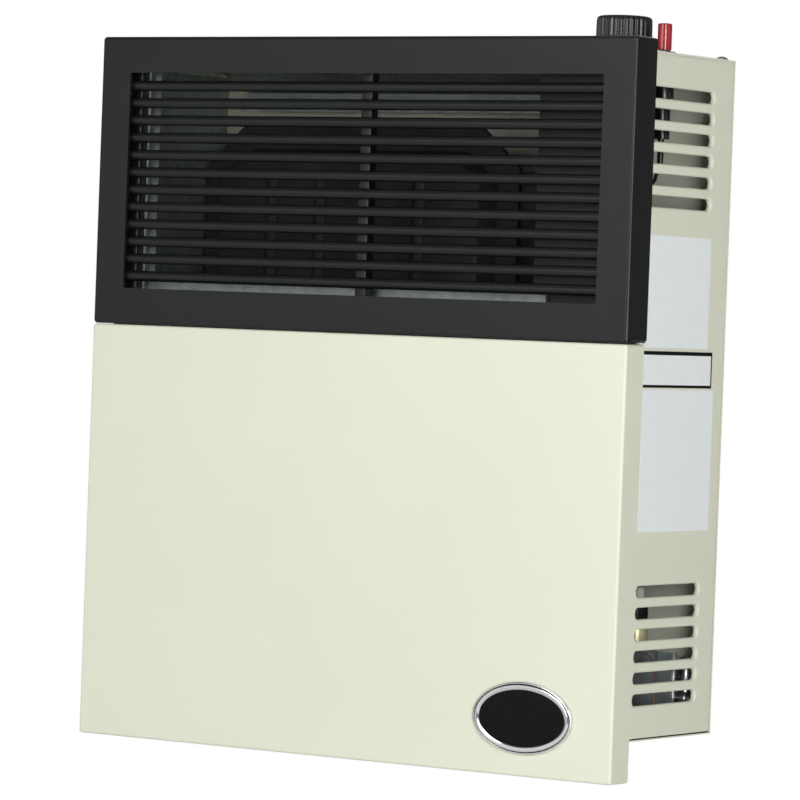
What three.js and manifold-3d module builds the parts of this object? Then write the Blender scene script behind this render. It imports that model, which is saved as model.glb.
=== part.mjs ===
// Wall-hung direct-vent gas heater, in millimetres, +Z up, front towards -Y, wall at y = 0.
// Heights are written from the lower edge of the front cover; the finished group is lowered so
// that its origin lies on the wall face of the back panel, at the middle of the cabinet.
import * as THREE from "three";
import { mergeVertices } from "three/addons/utils/BufferGeometryUtils.js";
import Module from "manifold-3d";

const wasm = await Module();
wasm.setup();

// ---------- Driving dimensions ----------

// Front cover: a black pressed frame over a cream pressed panel
const totalDepth = 142; // wall to front face
const coverWidth = 470;
const coverTop = 526.5;
const seamHeight = 310.5; // lower edge of the black frame
const seamGap = 0.5;
const seamFlange = 14; // turned-in edges that meet at the seam
const coverFlange = 27; // how far the cover's sides run back
const coverSheet = 1;
const coverBend = 2; // outer radius of the folded edges
const sideRelief = 2.3; // the frame's sides stop this far above the seam
const rearCornerRadius = 3;

// Rod grille behind the frame's opening
const frameBorder = 27;
const openingReturn = 2.7; // folded edge round the opening
const rodCount = 12;
const rodDiameter = 7.9;
const rodPitch = 13;
const rodInset = 3.3; // front face of the cover to the front of the rods
const rodOverrun = 8; // rods run on behind the frame
const supportWidth = 9.2;
const supportDepth = 9.2;
const supportOutset = 1; // outer supports, outside the edge of the opening
const rodSides = 10;
const weldDepth = 0.6;
const footHeight = 9;
const footSetback = 2; // from the opening's edge to the feet

// Cabinet
const sheet = 1;
const coverClearance = 1; // cover side to cabinet side
const coverOverlap = 5; // the cover reaches over the cabinet by this much
const cabinetTop = 518;
const cabinetBottom = 29;
const frontFlange = 27.5;
const narrowFlange = 12; // rear, top and bottom flanges of the side panels
const cabinetBend = 1.5;
const frontLip = 14; // folded front edges of the top and bottom panels

// Louvre slots in the side panels
const slotCount = 6;
const slotLength = 82;
const slotHeight = 8.3;
const slotPitch = 15.4;
const slotRim = 3.5; // depth of the rolled rim, from the outer face
const rimWall = 0.9;
const rimFlare = 1.3;
const upperSlotHeight = 489;
const lowerSlotHeight = 135;
const upperSlotRear = 34; // from the wall to the rear ends
const lowerSlotRear = 30;

// Air intake slots in the bottom panel
const intakeColumns = 5;
const intakePitch = 62;
const intakeLength = 50;
const intakeWidth = 7;
const intakeStart = -185;
const intakeRows = [-84, -44];

// Wall fixing
const keyholeSpacing = 240;
const keyholeSetdown = 22; // cabinet top to the keyholes' upper ends
const keyholeHead = 5.5;
const keyholeShank = 3;
const keyholeDrop = 11;
const wallScrewHeight = 62;
const wallScrewRadius = 4;

// Blank labels on the right side; their setbacks run from the wall to the rear edges
const labelLowerLow = 177.4;
const labelLowerTall = 101.2;
const labelLowerRear = 15;
const labelMiddleLow = 279.9;
const labelMiddleTall = 25.5;
const labelMiddleRear = 18.3;
const labelUpperLow = 308.3;
const labelUpperTall = 79.6;
const labelUpperRear = 25.8;
const labelFront = 114.5;
const labelThickness = 0.3;

// Badge: an oval bezel with a bare oval face
const badgeX = 161;
const badgeHeight = 41.7;
const badgeWidth = 83;
const badgeTall = 52;
const badgeRim = 5;
const badgeThickness = 2.6;
const badgeSides = 28;
const faceThickness = 1;

// Cover hooks and seam screws
const hookX = 150;
const hookWidth = 30;
const hookDrop = 12;
const hookLift = 15;
const seamScrewX = 170;
const seamScrewSetback = 7; // from the cover's inner face

// Control knob, push rod and igniter; insets run from the outer face of the right side
const controlSetback = 58; // wall to the axes of the knob and the igniter
const knobInset = 60.3;
const knobBottom = 524;
const knobTop = 546.3;
const knobRadius = 20.35;
const knobSkirtRadius = 22.1;
const knobSkirtTop = 531.5;
const knobWall = 2;
const knobRibs = 30;
const ribDepth = 0.9;
const knobPush = 5;
const rodRadius = 4;
const runningGap = 0.35;
const bushingWall = 2.4;
const bushingFlange = 3.4;
const igniterInset = 26.2;
const buttonRadius = 5.15;
const buttonTop = 541;
const buttonBottom = 521.8;
const buttonTravel = 6;
const sleeveWall = 1.2;
const igniterCollarRadius = 8;
const igniterBodyRadius = 6;
const igniterCollarLow = 487;
const igniterBodyLow = 458;
const igniterTerminalLow = 440;
const igniterTerminalRadius = 2.3;
const nutRadius = 10.3;

// Firebox: two pressed shells clamped on a gasket
const fireboxX = -49.5;
const fireboxWidth = 281;
const fireboxTop = 465;
const fireboxBottom = 95;
const fireboxSetback = 61; // wall to the middle of the joint
const fireboxSheet = 1.2;
const fireboxChamferX = 34;
const fireboxChamferZ = 30;
const fireboxFlange = 18;
const frontBulge = 20;
const rearBulge = 36;
const draft = 9;
const gasketThickness = 1.6;
const ribOffsets = [-66, -22, 22, 66];
const ribRadius = 6;
const ribLow = 236;
const ribHigh = 424;

// Vent: flue pipe inside the air collar
const ventHeight = 358;
const flueRadius = 38;
const flueReach = 40; // past the wall face
const collarRadius = 63.5;
const collarReach = 28;
const ventSheet = 0.9;
const ventFlange = 9;
const ductHalfWidth = 72;
const ductLow = 134;
const ductHigh = 428;
const ductLap = 8;
const airPort = { x: 40, low: 146, tall: 34 };

// Burner and pilot, carried by a plate on the front shell
const plateX = -49;
const plateWidth = 202;
const plateLow = 124;
const plateTall = 80;
const plateLap = 8;
const burnerHeight = 166;
const burnerSetback = 54;
const burnerRadius = 13;
const burnerLeft = -135;
const burnerRight = 19;
const burnerPorts = 9;
const portWidth = 2.5;
const orificeX = 32;
const orificeRadius = 6.7;
const pilotSetback = 76.5;
const pilotShelf = 158;
const pilotX = -64;
const thermocoupleX = -50;
const electrodeX = -80;
const lineExit = 141; // height at which the pilot lines leave through the plate
const lineHole = 4.5;
const windowX = -112;
const windowRise = 58; // lower edge of the plate to the middle of the window
const windowRadius = 9;
const windowGlass = 1.5;

// Gas valve
const valveLeftInset = 85;
const valveRightInset = 27;
const valveSetback = 34;
const valveDepth = 52;
const valveLow = 40;
const valveHigh = 93;
const bossRadius = 15;
const bossHeight = 6;
const supplyRadius = 5;
const supplySetback = 70;
const supplyHeight = 66;
const outletReach = 5;
const inletInset = 48;
const inletHeight = 62;
const inletRadius = 9.5;
const inletBore = 6;
const inletSetback = 15;
const inletEnd = 36;
const springRadius = 7.4;
const springWire = 0.8;
const springTurns = 5;
const springTop = 124;

// Inner sheets
const partitionInset = 91;
const lineNotch = { front: 118, rear: 88, low: 80, high: 150 };
const shieldLow = 322;
const shieldHigh = 502;
const linerInset = 37; // outer face of the left side to the liner
const linerLow = 345;
const linerRear = 32;
const deflectorLow = 305;
const deflectorHigh = 343;
const deflectorPast = 12; // the deflector ends this far past the partition
const deflectorShelf = 27;
const baffleLow = 478;
const baffleKnee = 492;

const seat = 0.3; // gap between pieces that bear on each other
const past = 1; // how far a cutting solid runs past a face

// ---------- Derived planes ----------

const faceY = -totalDepth;
const rimY = faceY + coverFlange;
const innerFaceY = faceY + coverSheet;
const coverHalf = coverWidth / 2;
const cabinetFrontY = rimY - coverOverlap;
const cabinetHalf = coverHalf - coverSheet - coverClearance;
const openingHalf = coverHalf - frameBorder;
const openingTop = coverTop - frameBorder;
const openingLow = seamHeight + frameBorder;
const rodY = faceY + rodInset + rodDiameter / 2;
const supportFrontY = rodY + rodDiameter / 2 - weldDepth;
const supportBackY = supportFrontY + supportDepth;
const backY = -sheet; // inner face of the back panel
const liningY = cabinetFrontY + sheet + seat; // front face of sheets that bear on the front flanges
const shieldY = liningY + sheet + seat;
const controlY = -controlSetback;
const jointY = -fireboxSetback;
const frontFlangeY = jointY - gasketThickness / 2 - seat; // joint face of the front shell
const rearFlangeY = jointY + gasketThickness / 2 + seat;
const pressFaceY = frontFlangeY - frontBulge; // outer faces of the pressed shells
const pressBackY = rearFlangeY + rearBulge;
const wallPointHeight = (cabinetTop + cabinetBottom) / 2;
const panelTop = cabinetTop - sheet;
const panelBottom = cabinetBottom + sheet;
const fromRight = (inset) => cabinetHalf - inset;
const knobX = fromRight(knobInset);
const igniterX = fromRight(igniterInset);
const valveLeft = fromRight(valveLeftInset);
const valveRight = fromRight(valveRightInset);
const inletX = fromRight(inletInset);
const partitionX = fromRight(partitionInset);
const linerX = linerInset - cabinetHalf;
const deflectorRight = partitionX + deflectorPast;
const keyholeHeight = cabinetTop - keyholeSetdown;
const windowHeight = plateLow + windowRise;

// ---------- Solids ----------

// A closed three.js geometry as a solid, with its faces pointing out.
function solidOf(geometry) {
  const bare = geometry.index ? geometry.toNonIndexed() : geometry.clone();
  bare.deleteAttribute("normal");
  bare.deleteAttribute("uv");
  const merged = mergeVertices(bare, 1e-4);
  const vertProperties = merged.attributes.position.array;
  const triVerts = new Uint32Array(merged.index.array);
  const build = () => new wasm.Manifold(new wasm.Mesh({ numProp: 3, vertProperties, triVerts }));
  const made = build();
  if (made.volume() > 0) return made;
  for (let i = 0; i < triVerts.length; i += 3) {
    [triVerts[i + 1], triVerts[i + 2]] = [triVerts[i + 2], triVerts[i + 1]];
  }
  return build();
}

// A solid back as a three.js geometry with flat faces.
function geometryOf(solid) {
  const { vertProperties, triVerts } = solid.getMesh();
  const geometry = new THREE.BufferGeometry();
  geometry.setAttribute("position", new THREE.BufferAttribute(new Float32Array(vertProperties), 3));
  geometry.setIndex(new THREE.BufferAttribute(new Uint32Array(triVerts), 1));
  const flat = geometry.toNonIndexed();
  flat.computeVertexNormals();
  return flat;
}

const join = (...solids) => solids.flat().reduce((whole, piece) => whole.add(piece));
const cut = (solid, ...tools) => tools.flat().reduce((left, tool) => left.subtract(tool), solid);

function block([x0, x1], [y0, y1], [z0, z1]) {
  const box = new THREE.BoxGeometry(Math.abs(x1 - x0), Math.abs(y1 - y0), Math.abs(z1 - z0));
  return solidOf(box.translate((x0 + x1) / 2, (y0 + y1) / 2, (z0 + z1) / 2));
}

// Turns a geometry made in its own X, Y and Z so that its Z runs along the axis named.
// The outline's first coordinate is x (or y where the axis is X) and its second is z (or y).
const BASES = {
  X: [[0, 1, 0], [0, 0, 1], [1, 0, 0]],
  Y: [[1, 0, 0], [0, 0, 1], [0, -1, 0]],
  Z: [[1, 0, 0], [0, 1, 0], [0, 0, 1]],
};
function along(axis, geometry) {
  const [a, b, c] = BASES[axis].map((v) => new THREE.Vector3(...v));
  return geometry.applyMatrix4(new THREE.Matrix4().makeBasis(a, b, c));
}

// An outline, with any holes, extruded along an axis from low to high.
function prism(outline, axis, low, high, holes = []) {
  const shape = new THREE.Shape(outline);
  shape.holes = holes.map((hole) => new THREE.Path(hole));
  const geometry = new THREE.ExtrudeGeometry(shape, { depth: high - low, bevelEnabled: false });
  geometry.translate(0, 0, axis === "Y" ? -high : low);
  return solidOf(along(axis, geometry));
}

// A profile of [radius, distance along the axis] turned round an axis through the point given.
function turned(profile, axis, [x, y, z], sides = 24) {
  const points = profile.map(([r, h]) => new THREE.Vector2(r, axis === "Y" ? -h : h));
  const geometry = new THREE.LatheGeometry(points, sides).rotateX(Math.PI / 2);
  return solidOf(along(axis, geometry).translate(x, y, z));
}

// A straight round bar or cutter between two stations on an axis through the point given.
function bar(radius, axis, low, high, at, sides = 16) {
  return turned([[0, low], [radius, low], [radius, high], [0, high]], axis, at, sides);
}

// Rings of points with equal counts, joined into one closed solid with fanned, convex ends.
function skin(rings) {
  const count = rings[0].length;
  const points = rings.flat();
  const index = [];
  for (let ring = 0; ring + 1 < rings.length; ring += 1) {
    for (let i = 0; i < count; i += 1) {
      const a = ring * count + i;
      const b = ring * count + ((i + 1) % count);
      index.push(a, b, b + count, a, b + count, a + count);
    }
  }
  const last = (rings.length - 1) * count;
  for (let i = 1; i + 1 < count; i += 1) {
    index.push(0, i + 1, i, last, last + i, last + i + 1);
  }
  const geometry = new THREE.BufferGeometry().setFromPoints(points);
  geometry.setIndex(index);
  return solidOf(geometry);
}

// A round tube or rod along a smooth curve through the points.
function sweep(points, radius, steps = 28, sides = 8) {
  const curve = new THREE.CatmullRomCurve3(points.map((p) => new THREE.Vector3(...p)));
  const shape = new THREE.Shape(ellipse(radius, radius, sides));
  return solidOf(new THREE.ExtrudeGeometry(shape, { steps, extrudePath: curve, bevelEnabled: false }));
}

// ---------- Outlines ----------

function ellipse(halfWidth, halfHeight, count, [cx, cy] = [0, 0]) {
  return Array.from({ length: count }, (_, i) => {
    const turn = (2 * Math.PI * (i + 0.5)) / count;
    return new THREE.Vector2(cx + halfWidth * Math.cos(turn), cy + halfHeight * Math.sin(turn));
  });
}

const rectangle = ([x0, x1], [y0, y1]) =>
  [[x0, y0], [x1, y0], [x1, y1], [x0, y1]].map(([x, y]) => new THREE.Vector2(x, y));

function roundedRectangle([x0, x1], [y0, y1], radius, steps = 3) {
  const corners = [[x1, y1, 0], [x0, y1, 1], [x0, y0, 2], [x1, y0, 3]];
  return corners.flatMap(([x, y, quarter]) => {
    const cx = x + (x === x1 ? -radius : radius);
    const cy = y + (y === y1 ? -radius : radius);
    return Array.from({ length: steps + 1 }, (_, i) => {
      const turn = (Math.PI / 2) * (quarter + i / steps);
      return new THREE.Vector2(cx + radius * Math.cos(turn), cy + radius * Math.sin(turn));
    });
  });
}

// A slot with round ends; grow widens it all round.
function stadium(centre, middle, length, height, grow = 0, steps = 4) {
  const radius = height / 2 + grow;
  const reach = (length - height) / 2;
  return [-1, 1].flatMap((end) =>
    Array.from({ length: steps + 1 }, (_, i) => {
      const turn = Math.PI * (i / steps - 0.5) + (end < 0 ? Math.PI : 0);
      return new THREE.Vector2(
        centre + end * reach + radius * Math.cos(turn),
        middle + radius * Math.sin(turn),
      );
    }),
  );
}

const ringAtY = (outline, y) => outline.map((p) => new THREE.Vector3(p.x, y, p.y));
const ringAtX = (outline, x) => outline.map((p) => new THREE.Vector3(x, p.x, p.y));

// ---------- Front cover ----------

// A rectangular pressing open at the back, its front edges rolled over the bend.
function tray(low, high, rearY) {
  const form = (inset, bend, y, rear) => {
    const ring = (grow, at) =>
      ringAtY(
        roundedRectangle(
          [-coverHalf + inset + grow, coverHalf - inset - grow],
          [low + inset + grow, high - inset - grow],
          bend,
          2,
        ),
        at,
      );
    const corner = bend * (1 - Math.SQRT1_2);
    return skin([ring(0, rear), ring(0, y + bend), ring(corner, y + corner), ring(bend, y)]);
  };
  return cut(form(0, coverBend, faceY, rearY), form(coverSheet, coverSheet, innerFaceY, rearY + past));
}

// The turned-in edge at the seam is narrower than the cover's sides.
const seamTrim = (...rise) =>
  block([-coverHalf + coverSheet, coverHalf - coverSheet], [innerFaceY + seamFlange, rimY + past], rise);

const seamScrewY = innerFaceY + seamScrewSetback;
const seamScrewRadius = 1.7;
const seamHoles = () =>
  [-seamScrewX, seamScrewX].map((x) =>
    bar(seamScrewRadius + seat, "Z", seamHeight - 3, seamHeight + 3, [x, seamScrewY, 0], 10),
  );

function louverFrame() {
  const opening = (grow, radius) =>
    roundedRectangle(
      [-openingHalf - grow, openingHalf + grow],
      [openingLow - grow, openingTop + grow],
      radius,
      2,
    );
  const returnRing = prism(opening(coverSheet, 2), "Y", faceY, faceY + openingReturn);
  const reliefs = [-1, 1].map((side) =>
    block(
      [side * (coverHalf - coverSheet), side * (coverHalf + past)],
      [faceY + coverBend, rimY + past],
      [seamHeight - past, seamHeight + sideRelief],
    ),
  );
  const body = cut(
    tray(seamHeight, coverTop, rimY),
    seamTrim(seamHeight - past, seamHeight + coverSheet + 0.01),
    reliefs,
  );
  const hole = prism(opening(0, 1.2), "Y", faceY - past, faceY + openingReturn + past);
  return cut(join(body, returnRing), hole, seamHoles());
}

function frontPanel() {
  const top = seamHeight - seamGap;
  const square = (side) =>
    block(
      [side * (coverHalf - coverSheet - 0.01), side * (coverHalf + past)],
      [rimY - rearCornerRadius, rimY + past],
      [-past, rearCornerRadius],
    );
  const round = bar(rearCornerRadius, "X", -coverHalf - 2 * past, coverHalf + 2 * past, [
    0,
    rimY - rearCornerRadius,
    rearCornerRadius,
  ]);
  const corners = [-1, 1].map((side) => cut(square(side), round));
  return cut(
    tray(0, top, rimY),
    seamTrim(top - coverSheet - 0.01, top + past),
    corners,
    seamHoles(),
  );
}

// Twelve round rods welded to three square supports whose feet bear on the back of the frame.
function rodGrille() {
  const middle = (openingTop + openingLow) / 2;
  const span = openingHalf + rodOverrun;
  const rods = Array.from({ length: rodCount }, (_, i) => {
    const height = middle + (i - (rodCount - 1) / 2) * rodPitch;
    return bar(rodDiameter / 2, "X", -span, span, [0, rodY, height], rodSides);
  });
  const outer = openingHalf + supportOutset;
  const supports = [-outer, 0, outer].map((x) => {
    const width = [x - supportWidth / 2, x + supportWidth / 2];
    const high = openingTop + footSetback + footHeight;
    const low = openingLow - footSetback - footHeight;
    const post = block(width, [supportFrontY, supportBackY], [low, high]);
    const feet = [[low, low + footHeight], [high - footHeight, high]].map((rise) =>
      block(width, [innerFaceY + seat, supportFrontY + weldDepth], rise),
    );
    return join(post, feet);
  });
  return join(rods, supports);
}

function seamScrew() {
  const head = 3.6;
  const profile = [
    [0, -8], [seamScrewRadius, -7], [seamScrewRadius, seat], [head, seat],
    [head, 1.2], [2.4, 2.2], [0, 2.4],
  ];
  return turned(profile, "Z", [0, 0, 0], 10);
}

// A folded strip fixed inside the frame that drops through a slot in the cabinet's top.
const hookLegY = cabinetFrontY + sheet + 6;
function coverHook() {
  const low = cabinetTop + seat;
  const high = low + coverSheet;
  const front = innerFaceY + seat;
  const width = [-hookWidth / 2, hookWidth / 2];
  const rise = block(width, [front, front + coverSheet], [low - hookDrop, high]);
  const bridge = block(width, [front, hookLegY + coverSheet], [low, high]);
  const leg = block(width, [hookLegY, hookLegY + coverSheet], [low - hookDrop, high]);
  return join(rise, bridge, leg);
}

const badgeBackY = faceY - seat;
const badgeFrontY = badgeBackY - badgeThickness;
const badgeRing = (inset, y) =>
  ringAtY(ellipse(badgeWidth / 2 - inset, badgeTall / 2 - inset, badgeSides), y);

function badgeBezel() {
  const body = skin([
    badgeRing(0, badgeBackY), badgeRing(0, badgeBackY - 1),
    badgeRing(0.8, badgeFrontY + 0.3), badgeRing(1.8, badgeFrontY),
  ]);
  const well = skin([
    badgeRing(badgeRim, badgeFrontY + faceThickness + seat),
    badgeRing(badgeRim - 0.8, badgeFrontY - past),
  ]);
  return cut(body, well);
}

function badgeFace() {
  const inset = badgeRim + seat;
  return skin([
    badgeRing(inset, badgeFrontY + faceThickness), badgeRing(inset, badgeFrontY + 0.2),
    badgeRing(inset + 0.8, badgeFrontY),
  ]);
}

// ---------- Cabinet ----------

const screwX = cabinetHalf - 7;
const screwY = -8;
const screwRadius = 1.6;

// A folded side with two bands of slots, each slot with a flared mouth and a rolled inner rim.
function sidePanel() {
  const outer = prism(
    roundedRectangle([cabinetHalf - 60, cabinetHalf], [cabinetFrontY, backY + 20], cabinetBend),
    "Z",
    panelBottom,
    panelTop,
  );
  const inner = block(
    [cabinetHalf - 70, cabinetHalf - sheet],
    [cabinetFrontY + sheet, backY - sheet],
    [panelBottom + sheet, panelTop - sheet],
  );
  const trims = [
    block([0, cabinetHalf - frontFlange], [cabinetFrontY - past, 30], [0, cabinetTop + past]),
    block([0, cabinetHalf - narrowFlange], [cabinetFrontY + sheet, 30], [0, cabinetTop + past]),
    block([0, cabinetHalf + past], [backY, 30], [0, cabinetTop + past]),
  ];
  const shell = cut(outer, inner, trims);
  const bands = [
    { rear: upperSlotRear, top: upperSlotHeight },
    { rear: lowerSlotRear, top: lowerSlotHeight },
  ];
  const slots = bands.flatMap(({ rear, top }) =>
    Array.from({ length: slotCount }, (_, i) => {
      return { middle: -rear - slotLength / 2, z: top - i * slotPitch };
    }),
  );
  const at = (grow, x, { middle, z }) => ringAtX(stadium(middle, z, slotLength, slotHeight, grow), x);
  const rims = slots.map((slot) =>
    skin([at(rimWall, cabinetHalf - slotRim, slot), at(rimWall, cabinetHalf - sheet / 2, slot)]),
  );
  const mouths = slots.map((slot) =>
    skin([
      at(rimFlare, cabinetHalf + rimFlare / 4, slot),
      at(0, cabinetHalf - sheet, slot),
      at(0, cabinetHalf - slotRim - past, slot),
    ]),
  );
  const screwHole = bar(screwRadius + seat, "Z", panelTop - 3, cabinetTop, [screwX, screwY, 0], 10);
  return cut(join(shell, rims), mouths, screwHole);
}

const hookSlot = (x) =>
  block(
    [x - hookWidth / 2 - 2, x + hookWidth / 2 + 2],
    [hookLegY - 1.5, hookLegY + coverSheet + 1.5],
    [panelTop - past, cabinetTop + past],
  );

const lipHalf = cabinetHalf - frontFlange - 0.5;
const lipWidth = [-lipHalf, lipHalf];
const lipDepth = [cabinetFrontY, cabinetFrontY + sheet];

function topPanel() {
  const plate = block([-cabinetHalf, cabinetHalf], [cabinetFrontY, backY], [panelTop, cabinetTop]);
  const lip = block(lipWidth, lipDepth, [panelTop - frontLip, cabinetTop]);
  const hole = (radius, x, y) => bar(radius, "Z", panelTop - past, cabinetTop + past, [x, y, 0], 14);
  return cut(
    join(plate, lip),
    [-hookX, hookX].map(hookSlot),
    hole(rodRadius + runningGap + bushingWall + seat, knobX, controlY),
    hole(buttonRadius + runningGap + sleeveWall + seat, igniterX, controlY),
    [-screwX, screwX].map((x) => hole(screwRadius + seat, x, screwY)),
  );
}

function bottomPanel() {
  const through = [cabinetBottom - past, panelBottom + past];
  const plate = block([-cabinetHalf, cabinetHalf], [cabinetFrontY, backY], [cabinetBottom, panelBottom]);
  const lip = block(lipWidth, lipDepth, [cabinetBottom, panelBottom + frontLip]);
  const slots = intakeRows.flatMap((y) =>
    Array.from({ length: intakeColumns }, (_, i) => {
      const x = intakeStart + i * intakePitch;
      return block([x, x + intakeLength], [y, y + intakeWidth], through);
    }),
  );
  const gasHole = bar(inletRadius + 2.5, "Z", ...through, [inletX, -inletSetback, 0], 16);
  return cut(join(plate, lip), slots, gasHole);
}

// The back is one flat sheet, with the vent hole, two keyholes and two lower screw holes.
function backPanel() {
  const through = [backY - past, past];
  const plate = block([-cabinetHalf, cabinetHalf], [backY, 0], [cabinetBottom, cabinetTop]);
  const vent = bar(collarRadius + past, "Y", ...through, [fireboxX, 0, ventHeight], 24);
  const fixings = [-keyholeSpacing / 2, keyholeSpacing / 2].flatMap((x) => [
    bar(keyholeHead, "Y", ...through, [x, 0, keyholeHeight - keyholeDrop], 12),
    block([x - keyholeShank, x + keyholeShank], through, [keyholeHeight - keyholeDrop, keyholeHeight]),
    bar(keyholeShank, "Y", ...through, [x, 0, keyholeHeight], 8),
    bar(wallScrewRadius, "Y", ...through, [x, 0, wallScrewHeight], 8),
  ]);
  return cut(plate, vent, fixings);
}

function topScrew() {
  const profile = [
    [0, -9], [screwRadius, -7.5], [screwRadius, seat], [4.4, seat], [4.1, 1.2], [2.6, 2.3], [0, 2.7],
  ];
  return turned(profile, "Z", [0, 0, 0], 12);
}

// ---------- Inner sheets ----------

function controlPartition() {
  const front = shieldY + sheet + seat;
  const low = panelBottom + seat;
  const high = shieldHigh - sheet - seat;
  const web = [partitionX - sheet, partitionX];
  const across = [partitionX - 3, partitionX + 3];
  const wall = block(web, [front, backY - seat], [low, high]);
  const rear = block(
    [partitionX - sheet, partitionX + narrowFlange],
    [backY - seat - sheet, backY - seat],
    [low, high],
  );
  const lug = block([partitionX - sheet, partitionX + 8], [front, front + sheet], [shieldLow, high]);
  const lines = block(across, [-lineNotch.front - past, -lineNotch.rear], [lineNotch.low, lineNotch.high]);
  const supply = bar(supplyRadius + 2.5, "X", ...across, [0, -supplySetback, supplyHeight]);
  return cut(join(wall, rear, lug), lines, supply);
}

function controlShield() {
  const right = cabinetHalf - narrowFlange;
  const face = block([partitionX + 0.5, right], [shieldY, shieldY + sheet], [shieldLow, shieldHigh]);
  const fold = block([partitionX + 0.5, right], [shieldY, shieldY + 8], [shieldHigh - sheet, shieldHigh]);
  return join(face, fold);
}

function linerLeft() {
  const high = shieldHigh;
  const front = block([-cabinetHalf + narrowFlange, linerX], [liningY, liningY + sheet], [linerLow, high]);
  const wall = block([linerX - sheet, linerX], [liningY, -linerRear], [linerLow, high]);
  return join(front, wall);
}

function lowerDeflector() {
  const left = -cabinetHalf + narrowFlange;
  const rise = [deflectorLow, deflectorHigh];
  const face = block([left, deflectorRight], [liningY, liningY + sheet], rise);
  const shelf = block(
    [left + 15, partitionX - 3],
    [liningY, liningY + deflectorShelf],
    [deflectorHigh - sheet, deflectorHigh],
  );
  const lip = block([deflectorRight - sheet, deflectorRight], [liningY - 3, liningY + sheet], rise);
  return join(face, shelf, lip);
}

// A bent sheet under the top panel that turns the rising air out through the grille.
function topBaffle() {
  const shelf = panelTop - seat;
  const points = [
    [-9, baffleLow], [-10, baffleLow], [-10, baffleKnee], [-60, shelf - sheet - 4], [-60, shelf - sheet],
    [-82, shelf - sheet], [-82, shelf], [-59, shelf], [-59, shelf - 4], [-9, baffleKnee + 0.7],
  ];
  const outline = points.map(([y, z]) => new THREE.Vector2(y, z));
  return prism(outline, "X", linerX + 3, partitionX - 3);
}

// ---------- Firebox and vent ----------

// The firebox outline with cut-off corners, moved in by the inset.
function fireboxOutline(inset) {
  const halfWidth = fireboxWidth / 2 - inset;
  const low = fireboxBottom + inset;
  const high = fireboxTop - inset;
  const cx = fireboxChamferX - inset * 0.45;
  const cz = fireboxChamferZ - inset * 0.45;
  const half = [
    [halfWidth, low + cz], [halfWidth, high - cz], [halfWidth - cx, high],
    [-halfWidth + cx, high], [-halfWidth, high - cz], [-halfWidth, low + cz],
    [-halfWidth + cx, low], [halfWidth - cx, low],
  ];
  return half.map(([x, z]) => new THREE.Vector2(fireboxX + x, z));
}

// One pressed shell: direction is -1 for the front shell and +1 for the rear one. Ribs stand
// out of its face and the grooves inside them are open to the inside of the firebox.
function fireboxShell(direction, jointFace, bulge, ribs = [], grooves = []) {
  const form = (wall, reach) => {
    const ring = (inset, distance) =>
      ringAtY(fireboxOutline(inset + wall), jointFace + direction * distance);
    const inset = fireboxFlange;
    return skin([
      ring(inset, reach), ring(inset, 0.5), ring(inset + draft * 0.6, bulge * 0.8 - wall),
      ring(inset + draft, bulge - wall),
    ]);
  };
  const plane = [jointFace, jointFace + direction * fireboxSheet].sort((a, b) => a - b);
  const flange = prism(fireboxOutline(0), "Y", ...plane);
  return cut(join(flange, form(0, 0), ribs), form(fireboxSheet, -past), grooves);
}

function fireboxFront() {
  const capsule = (radius, offset) => {
    const shape = new THREE.CapsuleGeometry(radius, ribHigh - ribLow, 2, 8).rotateX(Math.PI / 2);
    return solidOf(shape.translate(fireboxX + offset, pressFaceY + 2, (ribLow + ribHigh) / 2));
  };
  const opening = block(
    [plateX - plateWidth / 2 + plateLap, plateX + plateWidth / 2 - plateLap],
    [pressFaceY - past, pressFaceY + 6],
    [plateLow + plateLap, plateLow + plateTall - plateLap],
  );
  const ribs = ribOffsets.map((offset) => capsule(ribRadius, offset));
  const grooves = ribOffsets.map((offset) => capsule(ribRadius - fireboxSheet, offset));
  return cut(fireboxShell(-1, frontFlangeY, frontBulge, ribs, grooves), opening);
}

function fireboxRear() {
  const shell = fireboxShell(1, rearFlangeY, rearBulge);
  const through = [pressBackY - 6, pressBackY + past];
  const flue = bar(flueRadius - ventSheet, "Y", ...through, [fireboxX, 0, ventHeight], 20);
  const air = block(
    [fireboxX - airPort.x, fireboxX + airPort.x],
    through,
    [airPort.low, airPort.low + airPort.tall],
  );
  return cut(shell, flue, air);
}

function fireboxGasket() {
  const half = gasketThickness / 2;
  const inner = fireboxOutline(fireboxFlange - 3).reverse();
  return prism(fireboxOutline(1.5), "Y", jointY - half, jointY + half, [inner]);
}

function fluePipe() {
  const foot = pressBackY + seat;
  const inner = flueRadius - ventSheet;
  const profile = [
    [inner, foot], [flueRadius + ventFlange, foot], [flueRadius + ventFlange, foot + ventSheet],
    [flueRadius, foot + ventSheet], [flueRadius, flueReach], [inner, flueReach], [inner, foot],
  ];
  return turned(profile, "Y", [fireboxX, 0, ventHeight], 20);
}

function airCollar() {
  const front = backY - seat - ventSheet;
  const inner = collarRadius - ventSheet;
  const profile = [
    [inner, front], [collarRadius + ventFlange, front], [collarRadius + ventFlange, front + ventSheet],
    [collarRadius, front + ventSheet], [collarRadius, collarReach], [inner, collarReach], [inner, front],
  ];
  return turned(profile, "Y", [fireboxX, 0, ventHeight], 24);
}

// The intake duct: a flat tray on the back of the firebox that leads the air down to the burner.
function airDuct() {
  const front = pressBackY + seat;
  const rear = backY - 2 * seat - ventSheet;
  const box = (grow, depth) =>
    block(
      [fireboxX - ductHalfWidth - grow, fireboxX + ductHalfWidth + grow],
      depth,
      [ductLow - grow, ductHigh + grow],
    );
  const shell = join(box(0, [front, rear]), box(ductLap, [front, front + sheet]));
  const vent = bar(collarRadius - 2 * ventSheet, "Y", rear - 3, rear + past, [fireboxX, 0, ventHeight], 24);
  return cut(shell, box(-sheet, [front - past, rear - sheet]), vent);
}

// ---------- Burner and pilot ----------

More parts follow.
